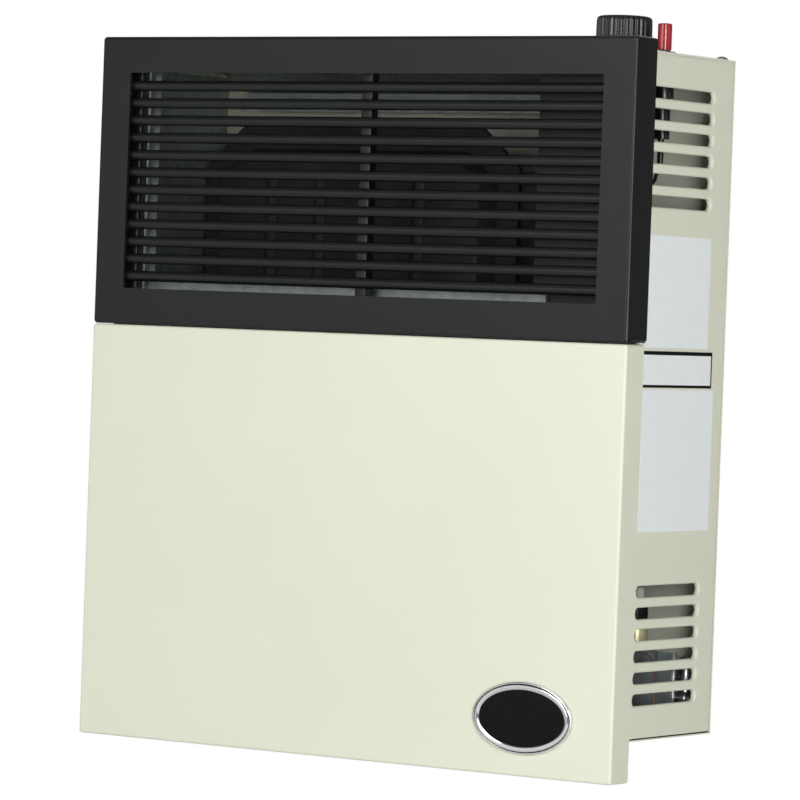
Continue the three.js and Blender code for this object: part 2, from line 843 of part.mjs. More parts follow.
const burnerY = -burnerSetback;
const plateBackY = pressFaceY - seat;
const innerPlateY = plateBackY + seat; // front of the brackets fixed inside the plate
const pilotY = -pilotSetback;
const pilotLines = [pilotX, thermocoupleX, electrodeX];

function burnerPlate() {
  const through = [plateBackY - 3, plateBackY + past];
  const plate = block(
    [plateX - plateWidth / 2, plateX + plateWidth / 2],
    [plateBackY - fireboxSheet, plateBackY],
    [plateLow, plateLow + plateTall],
  );
  const orifice = bar(orificeRadius + seat, "Y", ...through, [orificeX, 0, burnerHeight]);
  const window = bar(windowRadius, "Y", ...through, [windowX, 0, windowHeight], 12);
  const lines = pilotLines.map((x) => bar(lineHole, "Y", ...through, [x, 0, lineExit], 8));
  return cut(plate, orifice, window, lines);
}

// Sight window in the burner plate: a glass disc held by a pressed ring
const plateFrontY = plateBackY - fireboxSheet;
const windowAt = [windowX, 0, windowHeight];

const sightGlass = () =>
  bar(windowRadius + 3, "Y", plateFrontY - seat - windowGlass, plateFrontY - seat, windowAt, 12);

function sightRing() {
  const back = plateFrontY - seat;
  const front = back - windowGlass - seat;
  const profile = [
    [windowRadius + 3.3, back], [windowRadius + 7, back], [windowRadius + 7, back - 0.8],
    [windowRadius + 4.5, front - 0.8], [windowRadius - 0.5, front - 0.8], [windowRadius - 0.5, front],
    [windowRadius + 3.3, front], [windowRadius + 3.3, back],
  ];
  return turned(profile, "Y", windowAt, 12);
}

// A steel tube with a row of flame ports along its top and a flared open end.
function burnerTube() {
  const wall = 1;
  const profile = [
    [0, burnerLeft], [burnerRadius - 3, burnerLeft], [burnerRadius, burnerLeft + 3],
    [burnerRadius, burnerRight - 6], [burnerRadius + 2, burnerRight],
    [burnerRadius + 2 - wall, burnerRight],
    [burnerRadius - wall, burnerRight - 6], [burnerRadius - wall, burnerLeft + 3.5], [0, burnerLeft + 2],
  ];
  const tube = turned(profile, "X", [0, burnerY, burnerHeight], 12);
  const run = burnerRight - burnerLeft - 30;
  const ports = Array.from({ length: burnerPorts }, (_, i) => {
    const x = burnerLeft + 12 + (i * run) / (burnerPorts - 1);
    const rise = [burnerHeight + 8, burnerHeight + burnerRadius + past];
    return block([x, x + portWidth], [burnerY - 6, burnerY + 6], rise);
  });
  return cut(tube, ports);
}

function burnerBracket() {
  const base = block([burnerLeft + 6, 8], [innerPlateY, innerPlateY + fireboxSheet], [160, 174]);
  const arms = [burnerLeft + 12, 0].map((x) =>
    block([x, x + 2], [innerPlateY, burnerY + 6], [burnerHeight - burnerRadius - 4, burnerHeight - 4]),
  );
  const cradle = bar(burnerRadius + seat, "X", burnerLeft - 5, burnerRight, [0, burnerY, burnerHeight], 12);
  return cut(join(base, arms), cradle);
}

// The brass elbow that brings gas through the plate and points its jet into the burner.
function burnerOrifice() {
  const at = [orificeX, 0, burnerHeight];
  const inlet = bar(orificeRadius, "Y", plateFrontY - 11, burnerY + 6, at, 12);
  const nut = bar(orificeRadius + 3, "Y", plateFrontY - seat - 6, plateFrontY - seat, at, 6);
  const jet = turned(
    [[0, orificeX], [4.5, orificeX], [4.5, orificeX - 7], [2, orificeX - 10], [0, orificeX - 10]],
    "X",
    [0, burnerY, burnerHeight],
    10,
  );
  return join(inlet, nut, jet);
}

function pilotBracket() {
  const width = [electrodeX - 8, thermocoupleX + 8];
  const tab = block(width, [innerPlateY, innerPlateY + fireboxSheet], [pilotShelf - 8, pilotShelf]);
  const shelf = block(width, [innerPlateY, pilotY + 5.5], [pilotShelf - fireboxSheet, pilotShelf]);
  const holes = [
    bar(3 + seat, "Z", pilotShelf - 5, pilotShelf + 5, [pilotX, pilotY, 0], 8),
    bar(2.6 + seat, "Z", pilotShelf - 5, pilotShelf + 5, [thermocoupleX, pilotY, 0], 8),
    bar(2.8 + seat, "Z", pilotShelf - 5, pilotShelf + 5, [electrodeX, pilotY, 0], 8),
  ];
  return cut(join(tab, shelf), holes);
}

const pilotFoot = 149;

function pilotBurner() {
  const body = turned(
    [
      [0, pilotFoot], [3, pilotFoot], [3, pilotShelf + seat], [4.4, pilotShelf + seat],
      [4.4, pilotShelf + 6], [3.2, pilotShelf + 8], [3.2, pilotShelf + 20], [0, pilotShelf + 20],
    ],
    "Z",
    [pilotX, pilotY, 0],
    8,
  );
  const rise = [pilotShelf + 17, pilotShelf + 18.5];
  const hood = block([pilotX - 4, pilotX + 4], [pilotY - 3, pilotY + 4.5], rise);
  return join(body, hood);
}

const thermocouple = () =>
  turned(
    [
      [0, pilotFoot], [2.6, pilotFoot], [2.6, pilotShelf + seat], [4, pilotShelf + seat],
      [4, pilotShelf + 4], [2.4, pilotShelf + 5], [2.4, pilotShelf + 19], [1.2, pilotShelf + 21],
      [0, pilotShelf + 21],
    ],
    "Z",
    [thermocoupleX, pilotY, 0],
    8,
  );

const sparkElectrode = () =>
  turned(
    [
      [0, pilotFoot], [2.8, pilotFoot], [2.8, pilotShelf + seat], [4, pilotShelf + seat],
      [4, pilotShelf + 3], [2.8, pilotShelf + 4], [2.4, pilotShelf + 14], [0.9, pilotShelf + 15],
      [0.9, pilotShelf + 20], [0, pilotShelf + 20],
    ],
    "Z",
    [electrodeX, pilotY, 0],
    8,
  );

// The three pilot lines leave downwards, turn forwards and pass out through the plate.
const lineStart = (x) => [
  [x, pilotY, pilotFoot - seat],
  [x, pilotY - 0.6, lineExit + 2.5],
  [x, pilotY - 3.5, lineExit],
  [x, plateFrontY - 2, lineExit],
];

// ---------- Gas valve and lines ----------

const valveFrontY = -valveSetback - valveDepth;
const valveBackY = -valveSetback;
const bossTop = valveHigh + bossHeight;
const rodFoot = 86;
const nutX = valveRight - 8;
const nutY = -57;
const nutTop = 108.6;
const switchTop = 125;

function gasValve() {
  const body = prism(
    roundedRectangle([valveLeft, valveRight], [valveFrontY, valveBackY], 3, 2),
    "Z",
    valveLow,
    valveHigh,
  );
  const boss = bar(bossRadius, "Z", valveHigh - past, bossTop, [knobX, controlY, 0], 20);
  const cover = block(
    [valveLeft + 8, valveRight - 8],
    [valveFrontY - 4, valveFrontY + past],
    [valveLow + 6, valveLow + 26],
  );
  const outletAt = [0, -supplySetback, supplyHeight];
  const outlet = bar(supplyRadius + 3, "X", valveLeft - outletReach, valveLeft + past, outletAt, 6);
  const wellLow = rodFoot - knobPush - 2;
  const well = bar(rodRadius + runningGap, "Z", wellLow, bossTop + past, [knobX, controlY, 0]);
  const port = bar(inletBore, "Y", valveBackY - 12, valveBackY + past, [inletX, 0, inletHeight], 12);
  return cut(join(body, boss, cover, outlet), well, port);
}

// The bracket stands on the bottom panel and holds the back of the valve.
function valveBracket() {
  const face = valveBackY + seat;
  const low = panelBottom + seat;
  const sides = [valveLeft + 4, valveRight + 12];
  const wall = block(sides, [face, face + fireboxSheet], [low, valveHigh - 5]);
  const base = block(sides, [face, -7], [low, low + fireboxSheet]);
  const edge = block([sides[1] - fireboxSheet, sides[1]], [face, face + 7], [low, valveHigh - 5]);
  const pipe = bar(inletRadius + 1, "Y", face - past, face + 3, [inletX, 0, inletHeight], 16);
  const drop = bar(inletRadius + 2.5, "Z", low - past, low + 3, [inletX, -inletSetback, 0], 16);
  return cut(join(wall, base, edge), pipe, drop);
}

// An elbow from the back of the valve to an open end above the hole in the bottom panel.
function gasInlet() {
  const y = -inletSetback;
  const route = (start, end) => [
    [inletX, start, inletHeight],
    [inletX, y - 10, inletHeight],
    [inletX, y - 2.6, inletHeight - 3.4],
    [inletX, y, inletHeight - 11],
    [inletX, y, end],
  ];
  const pipe = sweep(route(valveBackY + seat, inletEnd), inletRadius, 9, 10);
  const bore = sweep(route(valveBackY - past, inletEnd - 4), inletBore, 9, 8);
  return cut(pipe, bore);
}

const supplyTube = () => {
  const end = plateFrontY - 11 - seat;
  return sweep(
    [
      [valveLeft - outletReach - seat, -supplySetback, supplyHeight],
      [partitionX - 10, -supplySetback, supplyHeight],
      [100, -supplySetback - 6, supplyHeight + 3], [60, -98, 92], [orificeX + 3, end - 14, 128],
      [orificeX, end - 14, burnerHeight - 13], [orificeX, end - 9, burnerHeight - 2],
      [orificeX, end - 3, burnerHeight], [orificeX, end, burnerHeight],
    ],
    supplyRadius,
    26,
    8,
  );
};

const pilotFittingX = valveLeft + 10;
const pilotFittingAt = [pilotFittingX, 0, 84];
const pilotFittingEnd = valveFrontY - seat - 8;
const pilotFitting = () => bar(5, "Y", pilotFittingEnd, valveFrontY - seat, pilotFittingAt, 6);

const pilotTube = () =>
  sweep(
    [
      ...lineStart(pilotX), [-60, -92, 136], [-46, -92, 130], [0, -93, 122], [60, -95, 112],
      [partitionX, -101, 106], [pilotFittingX - 4, -108, 94], [pilotFittingX, -104, 85],
      [pilotFittingX, pilotFittingEnd - 3 * seat, 84], [pilotFittingX, pilotFittingEnd - seat, 84],
    ],
    2,
    32,
    6,
  );

const thermocoupleNut = () =>
  turned(
    [[0, valveHigh + seat], [6, valveHigh + seat], [6, nutTop - 3], [4.5, nutTop], [0, nutTop]],
    "Z",
    [nutX, nutY, 0],
    12,
  );

function limitSwitch() {
  const outline = roundedRectangle([nutX - 9, nutX + 8], [nutY - 7, nutY + 9], 1.5, 1);
  return prism(outline, "Z", nutTop + seat, switchTop);
}

const thermocoupleLead = () =>
  sweep(
    [
      ...lineStart(thermocoupleX), [-40, -93, 138], [10, -94, 130], [60, -96, 124], [partitionX, -104, 118],
      [nutX - 48, -112, 96], [nutX - 26, -114, 62], [nutX, -109, 40], [nutX + 16, -90, 35],
      [nutX + 22, -68, 42], [nutX + 21, -57, 62], [nutX + 19, -60, 84], [nutX + 12, -76, 98],
      [nutX + 3, -84, 110], [nutX, -78, 116.5], [nutX, nutY - 10, 117.5],
      [nutX, nutY - 7 - seat, 117.5],
    ],
    1.1,
    46,
    5,
  );

const ignitionWire = () =>
  sweep(
    [
      ...lineStart(electrodeX), [-78, -93, 142], [-66, -98, 146], [-50, -99, 147.5], [0, -98, 146],
      [60, -99, 141],
      [partitionX, -108, 136], [igniterX - 39, -108, 146], [igniterX - 21, -104, 190],
      [igniterX - 13, -102, 300], [igniterX - 8, -96, 380], [igniterX - 4, -80, 412], [igniterX - 1, controlY - 6, 427], [igniterX, controlY, igniterTerminalLow - 5],
      [igniterX, controlY, igniterTerminalLow - seat],
    ],
    1.5,
    42,
    5,
  );

// ---------- Controls ----------

const sleeveBore = buttonRadius + runningGap;
const sleeveTop = buttonBottom - 1.4;
const plungerLow = 504;
const plungerRadius = 4.6;

function piezoIgniter() {
  const collarHigh = panelTop - seat;
  const sleeve = sleeveBore + sleeveWall;
  return turned(
    [
      [0, igniterTerminalLow], [igniterTerminalRadius, igniterTerminalLow],
      [igniterTerminalRadius, igniterBodyLow], [igniterBodyRadius, igniterBodyLow],
      [igniterBodyRadius, igniterCollarLow],
      [igniterCollarRadius, igniterCollarLow], [igniterCollarRadius, collarHigh], [sleeve, collarHigh],
      [sleeve, sleeveTop], [sleeveBore, sleeveTop], [sleeveBore, plungerLow - buttonTravel - 2],
      [0, plungerLow - buttonTravel - 2],
    ],
    "Z",
    [igniterX, controlY, 0],
    14,
  );
}

function igniterNut() {
  const bore = sleeveBore + sleeveWall + seat;
  const low = cabinetTop + seat;
  return turned(
    [
      [bore, low], [nutRadius, low], [nutRadius - 0.3, low + 0.7],
      [bore + 0.9, sleeveTop + 0.4], [bore, sleeveTop + 0.4], [bore, low],
    ],
    "Z",
    [igniterX, controlY, 0],
    18,
  );
}

const igniterButton = () =>
  turned(
    [
      [0, buttonBottom], [buttonRadius, buttonBottom], [buttonRadius, buttonTop - 0.9],
      [buttonRadius - 0.3, buttonTop - 0.3], [buttonRadius - 0.9, buttonTop], [0, buttonTop],
    ],
    "Z",
    [igniterX, controlY, 0],
    16,
  );

const buttonPlunger = () =>
  bar(plungerRadius, "Z", plungerLow, buttonBottom - seat, [igniterX, controlY, 0], 10);

function rodBushing() {
  const bore = rodRadius + runningGap;
  const low = cabinetTop - 10;
  const flangeLow = cabinetTop + seat;
  return turned(
    [
      [bore, low], [bore + bushingWall, low], [bore + bushingWall, flangeLow],
      [bore + bushingWall + bushingFlange, flangeLow], [bore + bushingWall + bushingFlange, flangeLow + 1],
      [bore, flangeLow + 1], [bore, low],
    ],
    "Z",
    [knobX, controlY, 0],
    14,
  );
}

const rodTop = 540;
const cupTop = springTop + 1.5;

// The rod carries a fixed collar that presses on the spring cup.
function controlRod() {
  const shaft = bar(rodRadius, "Z", rodFoot, rodTop, [knobX, controlY, 0], 12);
  const collar = bar(rodRadius + 2.5, "Z", cupTop + seat, cupTop + 3, [knobX, controlY, 0], 12);
  return join(shaft, collar);
}

function springCup() {
  const bore = rodRadius + runningGap;
  const low = springTop + seat;
  return turned(
    [[bore, low], [springRadius + 2.5, low], [springRadius + 2.5, cupTop], [bore, cupTop], [bore, low]],
    "Z",
    [knobX, controlY, 0],
    14,
  );
}

// A coil spring round the rod, as one unbroken tube of five-sided rings along a helix.
function knobSpring() {
  const low = bossTop + seat + springWire;
  const rise = springTop - springWire - low;
  const stepsPerTurn = 8;
  const count = springTurns * stepsPerTurn;
  const centre = (i) => {
    const turn = (2 * Math.PI * i) / stepsPerTurn;
    return new THREE.Vector3(
      knobX + springRadius * Math.cos(turn),
      controlY + springRadius * Math.sin(turn),
      low + (rise * i) / count,
    );
  };
  const rings = Array.from({ length: count + 1 }, (_, i) => {
    const out = centre(i).sub(new THREE.Vector3(knobX, controlY, centre(i).z)).normalize();
    return Array.from({ length: 5 }, (_, k) => {
      const turn = (2 * Math.PI * k) / 5;
      const offset = out.clone().multiplyScalar(springWire * Math.cos(turn));
      return centre(i).add(offset).add(new THREE.Vector3(0, 0, springWire * Math.sin(turn)));
    });
  });
  let gap = Infinity;
  for (let i = 0; i + stepsPerTurn <= count; i += 1) {
    gap = Math.min(gap, centre(i).distanceTo(centre(i + stepsPerTurn)) - 2 * springWire);
  }
  console.log("least gap between the spring's coils: " + gap.toFixed(2) + " mm");
  return skin(rings);
}

// A ribbed cap over a plain skirt, hollow underneath, with a hub for the rod.
function controlKnob() {
  const at = [knobX, controlY, 0];
  const pointsPerRib = 3;
  const ring = (radius, depth, z) =>
    Array.from({ length: knobRibs * pointsPerRib }, (_, i) => {
      const turn = (2 * Math.PI * i) / (knobRibs * pointsPerRib);
      const r = i % pointsPerRib === 0 ? radius - depth : radius;
      return new THREE.Vector3(knobX + r * Math.cos(turn), controlY + r * Math.sin(turn), z);
    });
  const grip = skin([
    ring(knobRadius, ribDepth, knobSkirtTop - past),
    ring(knobRadius, ribDepth, knobTop - 2.6),
    ring(knobRadius - 0.9, ribDepth / 2, knobTop - 0.8),
    ring(knobRadius - 2.6, 0, knobTop),
  ]);
  const skirt = turned(
    [
      [0, knobBottom], [knobSkirtRadius, knobBottom], [knobSkirtRadius, knobSkirtTop - 0.6],
      [knobSkirtRadius - 0.6, knobSkirtTop], [0, knobSkirtTop],
    ],
    "Z",
    at,
    32,
  );
  const hollowRadius = knobRadius - ribDepth - knobWall;
  const hollow = bar(hollowRadius, "Z", knobBottom - past, knobTop - 3 - knobWall, at, 24);
  const hub = bar(rodRadius + 3, "Z", knobBottom + 1, knobTop - 3, at, 12);
  const socket = bar(rodRadius + seat, "Z", knobBottom - past, rodTop + seat, at, 12);
  return cut(join(cut(join(grip, skirt), hollow), hub), socket);
}

// ---------- Materials ----------

const paint = (color, roughness, metalness = 0) =>
  new THREE.MeshStandardMaterial({ color, roughness, metalness });
const cream = paint(0xdfe0cc, 0.45);
const blackPaint = paint(0x37393a, 0.5);
const heatBlack = paint(0x1c1d1e, 0.7);
const galvanised = paint(0x8b979b, 0.45, 0.8);
const steel = paint(0xa9adb0, 0.35, 0.9);
const aluminium = paint(0xb9bcc0, 0.4, 0.9);
const brass = paint(0xcdb468, 0.3, 0.9);
const copper = paint(0xb4643c, 0.35, 0.9);
const chrome = paint(0xd9dcde, 0.1, 1);
const blackPlastic = paint(0x17181a, 0.4);
const redPlastic = paint(0x9b1f26, 0.25);
const gasket = paint(0xcfcabb, 0.95);
const ceramic = paint(0xe9e6dc, 0.4);
const glass = paint(0xbfd0cc, 0.05);
const labelFilm = paint(0xe4e6ea, 0.5);
const wireCover = paint(0xb83a22, 0.5);

// ---------- Assembly ----------

function place(group, name, solid, material, position = [0, 0, 0]) {
  const mesh = new THREE.Mesh(geometryOf(solid), material);
  mesh.name = name;
  mesh.position.set(...position);
  group.add(mesh);
  return mesh;
}

const cabinet = new THREE.Group();
const frontCover = new THREE.Group();
const controls = new THREE.Group();

place(cabinet, "side_panel_right", sidePanel(), cream);
place(cabinet, "side_panel_left", sidePanel(), cream).scale.x = -1;
place(cabinet, "top_panel", topPanel(), cream);
place(cabinet, "bottom_panel", bottomPanel(), cream);
place(cabinet, "back_panel", backPanel(), cream);
place(cabinet, "top_screw_right", topScrew(), steel, [screwX, screwY, cabinetTop]);
place(cabinet, "top_screw_left", topScrew(), steel, [-screwX, screwY, cabinetTop]);
const labels = [
  ["label_upper", labelUpperLow, labelUpperTall, labelUpperRear],
  ["label_middle", labelMiddleLow, labelMiddleTall, labelMiddleRear],
  ["label_lower", labelLowerLow, labelLowerTall, labelLowerRear],
];
for (const [name, low, tall, rear] of labels) {
  const film = block([cabinetHalf, cabinetHalf + labelThickness], [-labelFront, -rear], [low, low + tall]);
  place(cabinet, name, film, labelFilm);
}
place(cabinet, "control_partition", controlPartition(), galvanised);
place(cabinet, "control_shield", controlShield(), blackPaint);
place(cabinet, "liner_left", linerLeft(), galvanised);
place(cabinet, "lower_deflector", lowerDeflector(), galvanised);
place(cabinet, "top_baffle", topBaffle(), galvanised);
place(cabinet, "firebox_front", fireboxFront(), heatBlack);
place(cabinet, "firebox_rear", fireboxRear(), heatBlack);
place(cabinet, "firebox_gasket", fireboxGasket(), gasket);
place(cabinet, "flue_pipe", fluePipe(), steel);
place(cabinet, "air_collar", airCollar(), galvanised);
place(cabinet, "air_duct", airDuct(), galvanised);
place(cabinet, "burner_plate", burnerPlate(), heatBlack);
place(cabinet, "sight_glass", sightGlass(), glass);
place(cabinet, "sight_ring", sightRing(), steel);
place(cabinet, "burner_tube", burnerTube(), steel);
place(cabinet, "burner_bracket", burnerBracket(), steel);
place(cabinet, "burner_orifice", burnerOrifice(), brass);
place(cabinet, "pilot_bracket", pilotBracket(), steel);
place(cabinet, "pilot_burner", pilotBurner(), brass);
place(cabinet, "thermocouple", thermocouple(), copper);
place(cabinet, "spark_electrode", sparkElectrode(), ceramic);
place(cabinet, "gas_valve", gasValve(), aluminium);
place(cabinet, "valve_bracket", valveBracket(), galvanised);
place(cabinet, "gas_inlet", gasInlet(), steel);
place(cabinet, "burner_supply_tube", supplyTube(), aluminium);
place(cabinet, "pilot_fitting", pilotFitting(), brass);
place(cabinet, "pilot_tube", pilotTube(), aluminium);
place(cabinet, "thermocouple_nut", thermocoupleNut(), brass);
place(cabinet, "limit_switch", limitSwitch(), blackPlastic);
place(cabinet, "thermocouple_lead", thermocoupleLead(), copper);
place(cabinet, "ignition_wire", ignitionWire(), wireCover);
place(cabinet, "piezo_igniter", piezoIgniter(), blackPlastic);
place(cabinet, "igniter_nut", igniterNut(), blackPlastic);
place(cabinet, "rod_bushing", rodBushing(), blackPlastic);

place(controls, "igniter_button", igniterButton(), redPlastic);
place(controls, "button_plunger", buttonPlunger(), blackPlastic);
place(controls, "knob_spring", knobSpring(), steel);
place(controls, "spring_cup", springCup(), steel);
place(controls, "control_rod", controlRod(), steel);
place(controls, "control_knob", controlKnob(), blackPlastic);

place(frontCover, "louver_frame", louverFrame(), blackPaint);
place(frontCover, "rod_grille", rodGrille(), blackPaint);
place(frontCover, "front_panel", frontPanel(), cream);
place(frontCover, "badge_bezel", badgeBezel(), chrome, [badgeX, 0, badgeHeight]);
place(frontCover, "badge_face", badgeFace(), blackPlastic, [badgeX, 0, badgeHeight]);
place(frontCover, "cover_hook_left", coverHook(), galvanised, [-hookX, 0, 0]);
place(frontCover, "cover_hook_right", coverHook(), galvanised, [hookX, 0, 0]);
for (const [name, x] of [["seam_screw_left", -seamScrewX], ["seam_screw_right", seamScrewX]]) {
  place(frontCover, name, seamScrew(), steel, [x, seamScrewY, seamHeight + coverSheet]);
}

const heater = new THREE.Group();
heater.add(cabinet, controls, frontCover);
heater.position.z = -wallPointHeight;

export default heater;
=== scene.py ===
import math

import bmesh
import bpy
from mathutils import Matrix, Vector
from mathutils.geometry import tessellate_polygon


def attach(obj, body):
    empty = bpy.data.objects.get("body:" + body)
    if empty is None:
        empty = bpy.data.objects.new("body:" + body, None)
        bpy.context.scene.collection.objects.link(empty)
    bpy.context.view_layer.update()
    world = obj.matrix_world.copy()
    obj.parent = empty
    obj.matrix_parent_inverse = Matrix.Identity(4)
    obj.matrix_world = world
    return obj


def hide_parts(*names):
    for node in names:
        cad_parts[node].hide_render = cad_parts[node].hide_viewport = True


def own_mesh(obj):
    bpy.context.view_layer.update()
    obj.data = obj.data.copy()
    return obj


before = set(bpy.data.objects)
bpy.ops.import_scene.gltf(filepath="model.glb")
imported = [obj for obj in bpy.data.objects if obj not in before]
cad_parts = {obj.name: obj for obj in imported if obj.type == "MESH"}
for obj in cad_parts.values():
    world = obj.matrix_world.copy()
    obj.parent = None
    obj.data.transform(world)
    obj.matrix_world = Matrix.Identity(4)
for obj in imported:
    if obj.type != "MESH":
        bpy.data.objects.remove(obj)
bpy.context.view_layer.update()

# Looks of a wall-hung gas heater. Lengths are in millimetres and heights run from the lower edge
# of the front cover, as in the part's source; at() turns a point into the row frame in metres.
MM = 0.001
WALL_POINT = 273.5


def at(x, y, z):
    return Vector((x * MM, y * MM, (z - WALL_POINT) * MM))


# ---------- Real sizes shared with the part ----------

FACE_Y = -142.0
COVER_HALF = 235.0
CABINET_HALF = 233.0
CABINET_FRONT = -120.0
CABINET_REAR = -1.0
SIDE_LOW = 30.0
SIDE_HIGH = 517.0
SHEET = 1.0
OPENING_LOW = 337.5
OPENING_HIGH = 499.5
CONTROL_Y = -58.0
KNOB_X = 172.7
BUTTON_X = 206.8
VENT_X = -49.5
VENT_Z = 358.0
BADGE = (161.0, 41.7)


# ---------- Meshes ----------

WELD_DISTANCE = 1e-6


def soften(mesh, angle):
    """Smooth shading, with edges sharper than the angle kept crisp."""
    mesh.shade_smooth()
    mesh.set_sharp_from_angle(angle=math.radians(angle))


def piece(name, points, faces, material, body, slot, replaced=(), angle=35, weighted=False):
    """A mesh in cover-edge millimetres that rides on a body and may stand for CAD nodes."""
    mesh = bpy.data.meshes.new(name)
    mesh.from_pydata([at(*p) for p in points], [], faces)
    work = bmesh.new()
    work.from_mesh(mesh)
    bmesh.ops.remove_doubles(work, verts=work.verts, dist=WELD_DISTANCE)
    bmesh.ops.recalc_face_normals(work, faces=work.faces)
    work.to_mesh(mesh)
    work.free()
    soften(mesh, angle)
    made = bpy.data.objects.new(name, mesh)
    bpy.context.scene.collection.objects.link(made)
    made.data.materials.append(material)
    if weighted:
        weigh(made)
    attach(made, body)
    if replaced:
        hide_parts(*replaced)
    return made


def weigh(made):
    """Shading that leaves flat faces flat beside a bend."""
    weighted = made.modifiers.new("flat faces stay flat", "WEIGHTED_NORMAL")
    weighted.keep_sharp = True
    weighted.weight = 80


class Shape:
    """Points and faces gathered from several forms."""

    def __init__(self):
        self.points = []
        self.faces = []

    def add(self, points, faces):
        base = len(self.points)
        self.points += [tuple(p) for p in points]
        self.faces += [tuple(base + i for i in face) for face in faces]
        return self

    def skin(self, rings, closed=False, caps=True):
        """Rings with equal counts joined one to the next."""
        count = len(rings[0])
        faces = []
        steps = len(rings) if closed else len(rings) - 1
        for ring in range(steps):
            low = ring * count
            high = ((ring + 1) % len(rings)) * count
            for i in range(count):
                j = (i + 1) % count
                faces.append((low + i, low + j, high + j, high + i))
        if caps and not closed:
            last = (len(rings) - 1) * count
            faces.append(tuple(reversed(range(count))))
            faces.append(tuple(last + i for i in range(count)))
        return self.add([p for ring in rings for p in ring], faces)

    def flat(self, loops):
        """A flat sheet with holes: the first loop is its outline."""
        corners = [[Vector(p) for p in loop] for loop in loops]
        return self.add([p for loop in loops for p in loop], tessellate_polygon(corners))

    def box(self, xs, ys, zs):
        points = [(x, y, z) for x in xs for y in ys for z in zs]
        faces = [(0, 1, 3, 2), (4, 6, 7, 5), (0, 4, 5, 1), (2, 3, 7, 6), (0, 2, 6, 4), (1, 5, 7, 3)]
        return self.add(points, faces)

    def made(self, name, *rest, **more):
        return piece(name, self.points, self.faces, *rest, **more)


def ring_z(radius, z, centre, sides, wave=None):
    points = []
    for i in range(sides):
        turn = 2 * math.pi * i / sides
        r = radius + (wave(turn) if wave else 0.0)
        points.append((centre[0] + r * math.cos(turn), centre[1] + r * math.sin(turn), z))
    return points


def ring_y(radius, y, centre, sides):
    turns = [2 * math.pi * i / sides for i in range(sides)]
    return [(centre[0] + radius * math.cos(t), y, centre[1] + radius * math.sin(t)) for t in turns]


def ring_x(radius, x, centre, sides):
    turns = [2 * math.pi * i / sides for i in range(sides)]
    return [(x, centre[0] + radius * math.cos(t), centre[1] + radius * math.sin(t)) for t in turns]


def quarter_turn(steps):
    """Angles from nothing to a right angle."""
    return [math.pi / 2 * i / steps for i in range(steps + 1)]


def rounded_square(half_x, half_y, radius, steps=4):
    points = []
    for quarter, (sx, sy) in enumerate(((1, 1), (-1, 1), (-1, -1), (1, -1))):
        for i in range(steps + 1):
            turn = math.pi / 2 * (quarter + i / steps)
            x = sx * (half_x - radius) + radius * math.cos(turn)
            y = sy * (half_y - radius) + radius * math.sin(turn)
            points.append((x, y))
    return points


def turned(profile, centre, sides=32):
    """Rings about a vertical axis, from pairs of height and radius."""
    return [ring_z(r, z, centre, sides) for z, r in profile]


def stadium(middle, z, length, height, grow, steps=14):
    """Outline of a slot with round ends, as pairs of y and z."""
    radius = height / 2 + grow
    reach = (length - height) / 2
    outline = []
    for end in (-1, 1):
        for i in range(steps + 1):
            turn = math.pi * (i / steps - 0.5) + (math.pi if end < 0 else 0.0)
            y = middle + end * reach + radius * math.cos(turn)
            outline.append((y, z + radius * math.sin(turn)))
    return outline


# ---------- Materials ----------


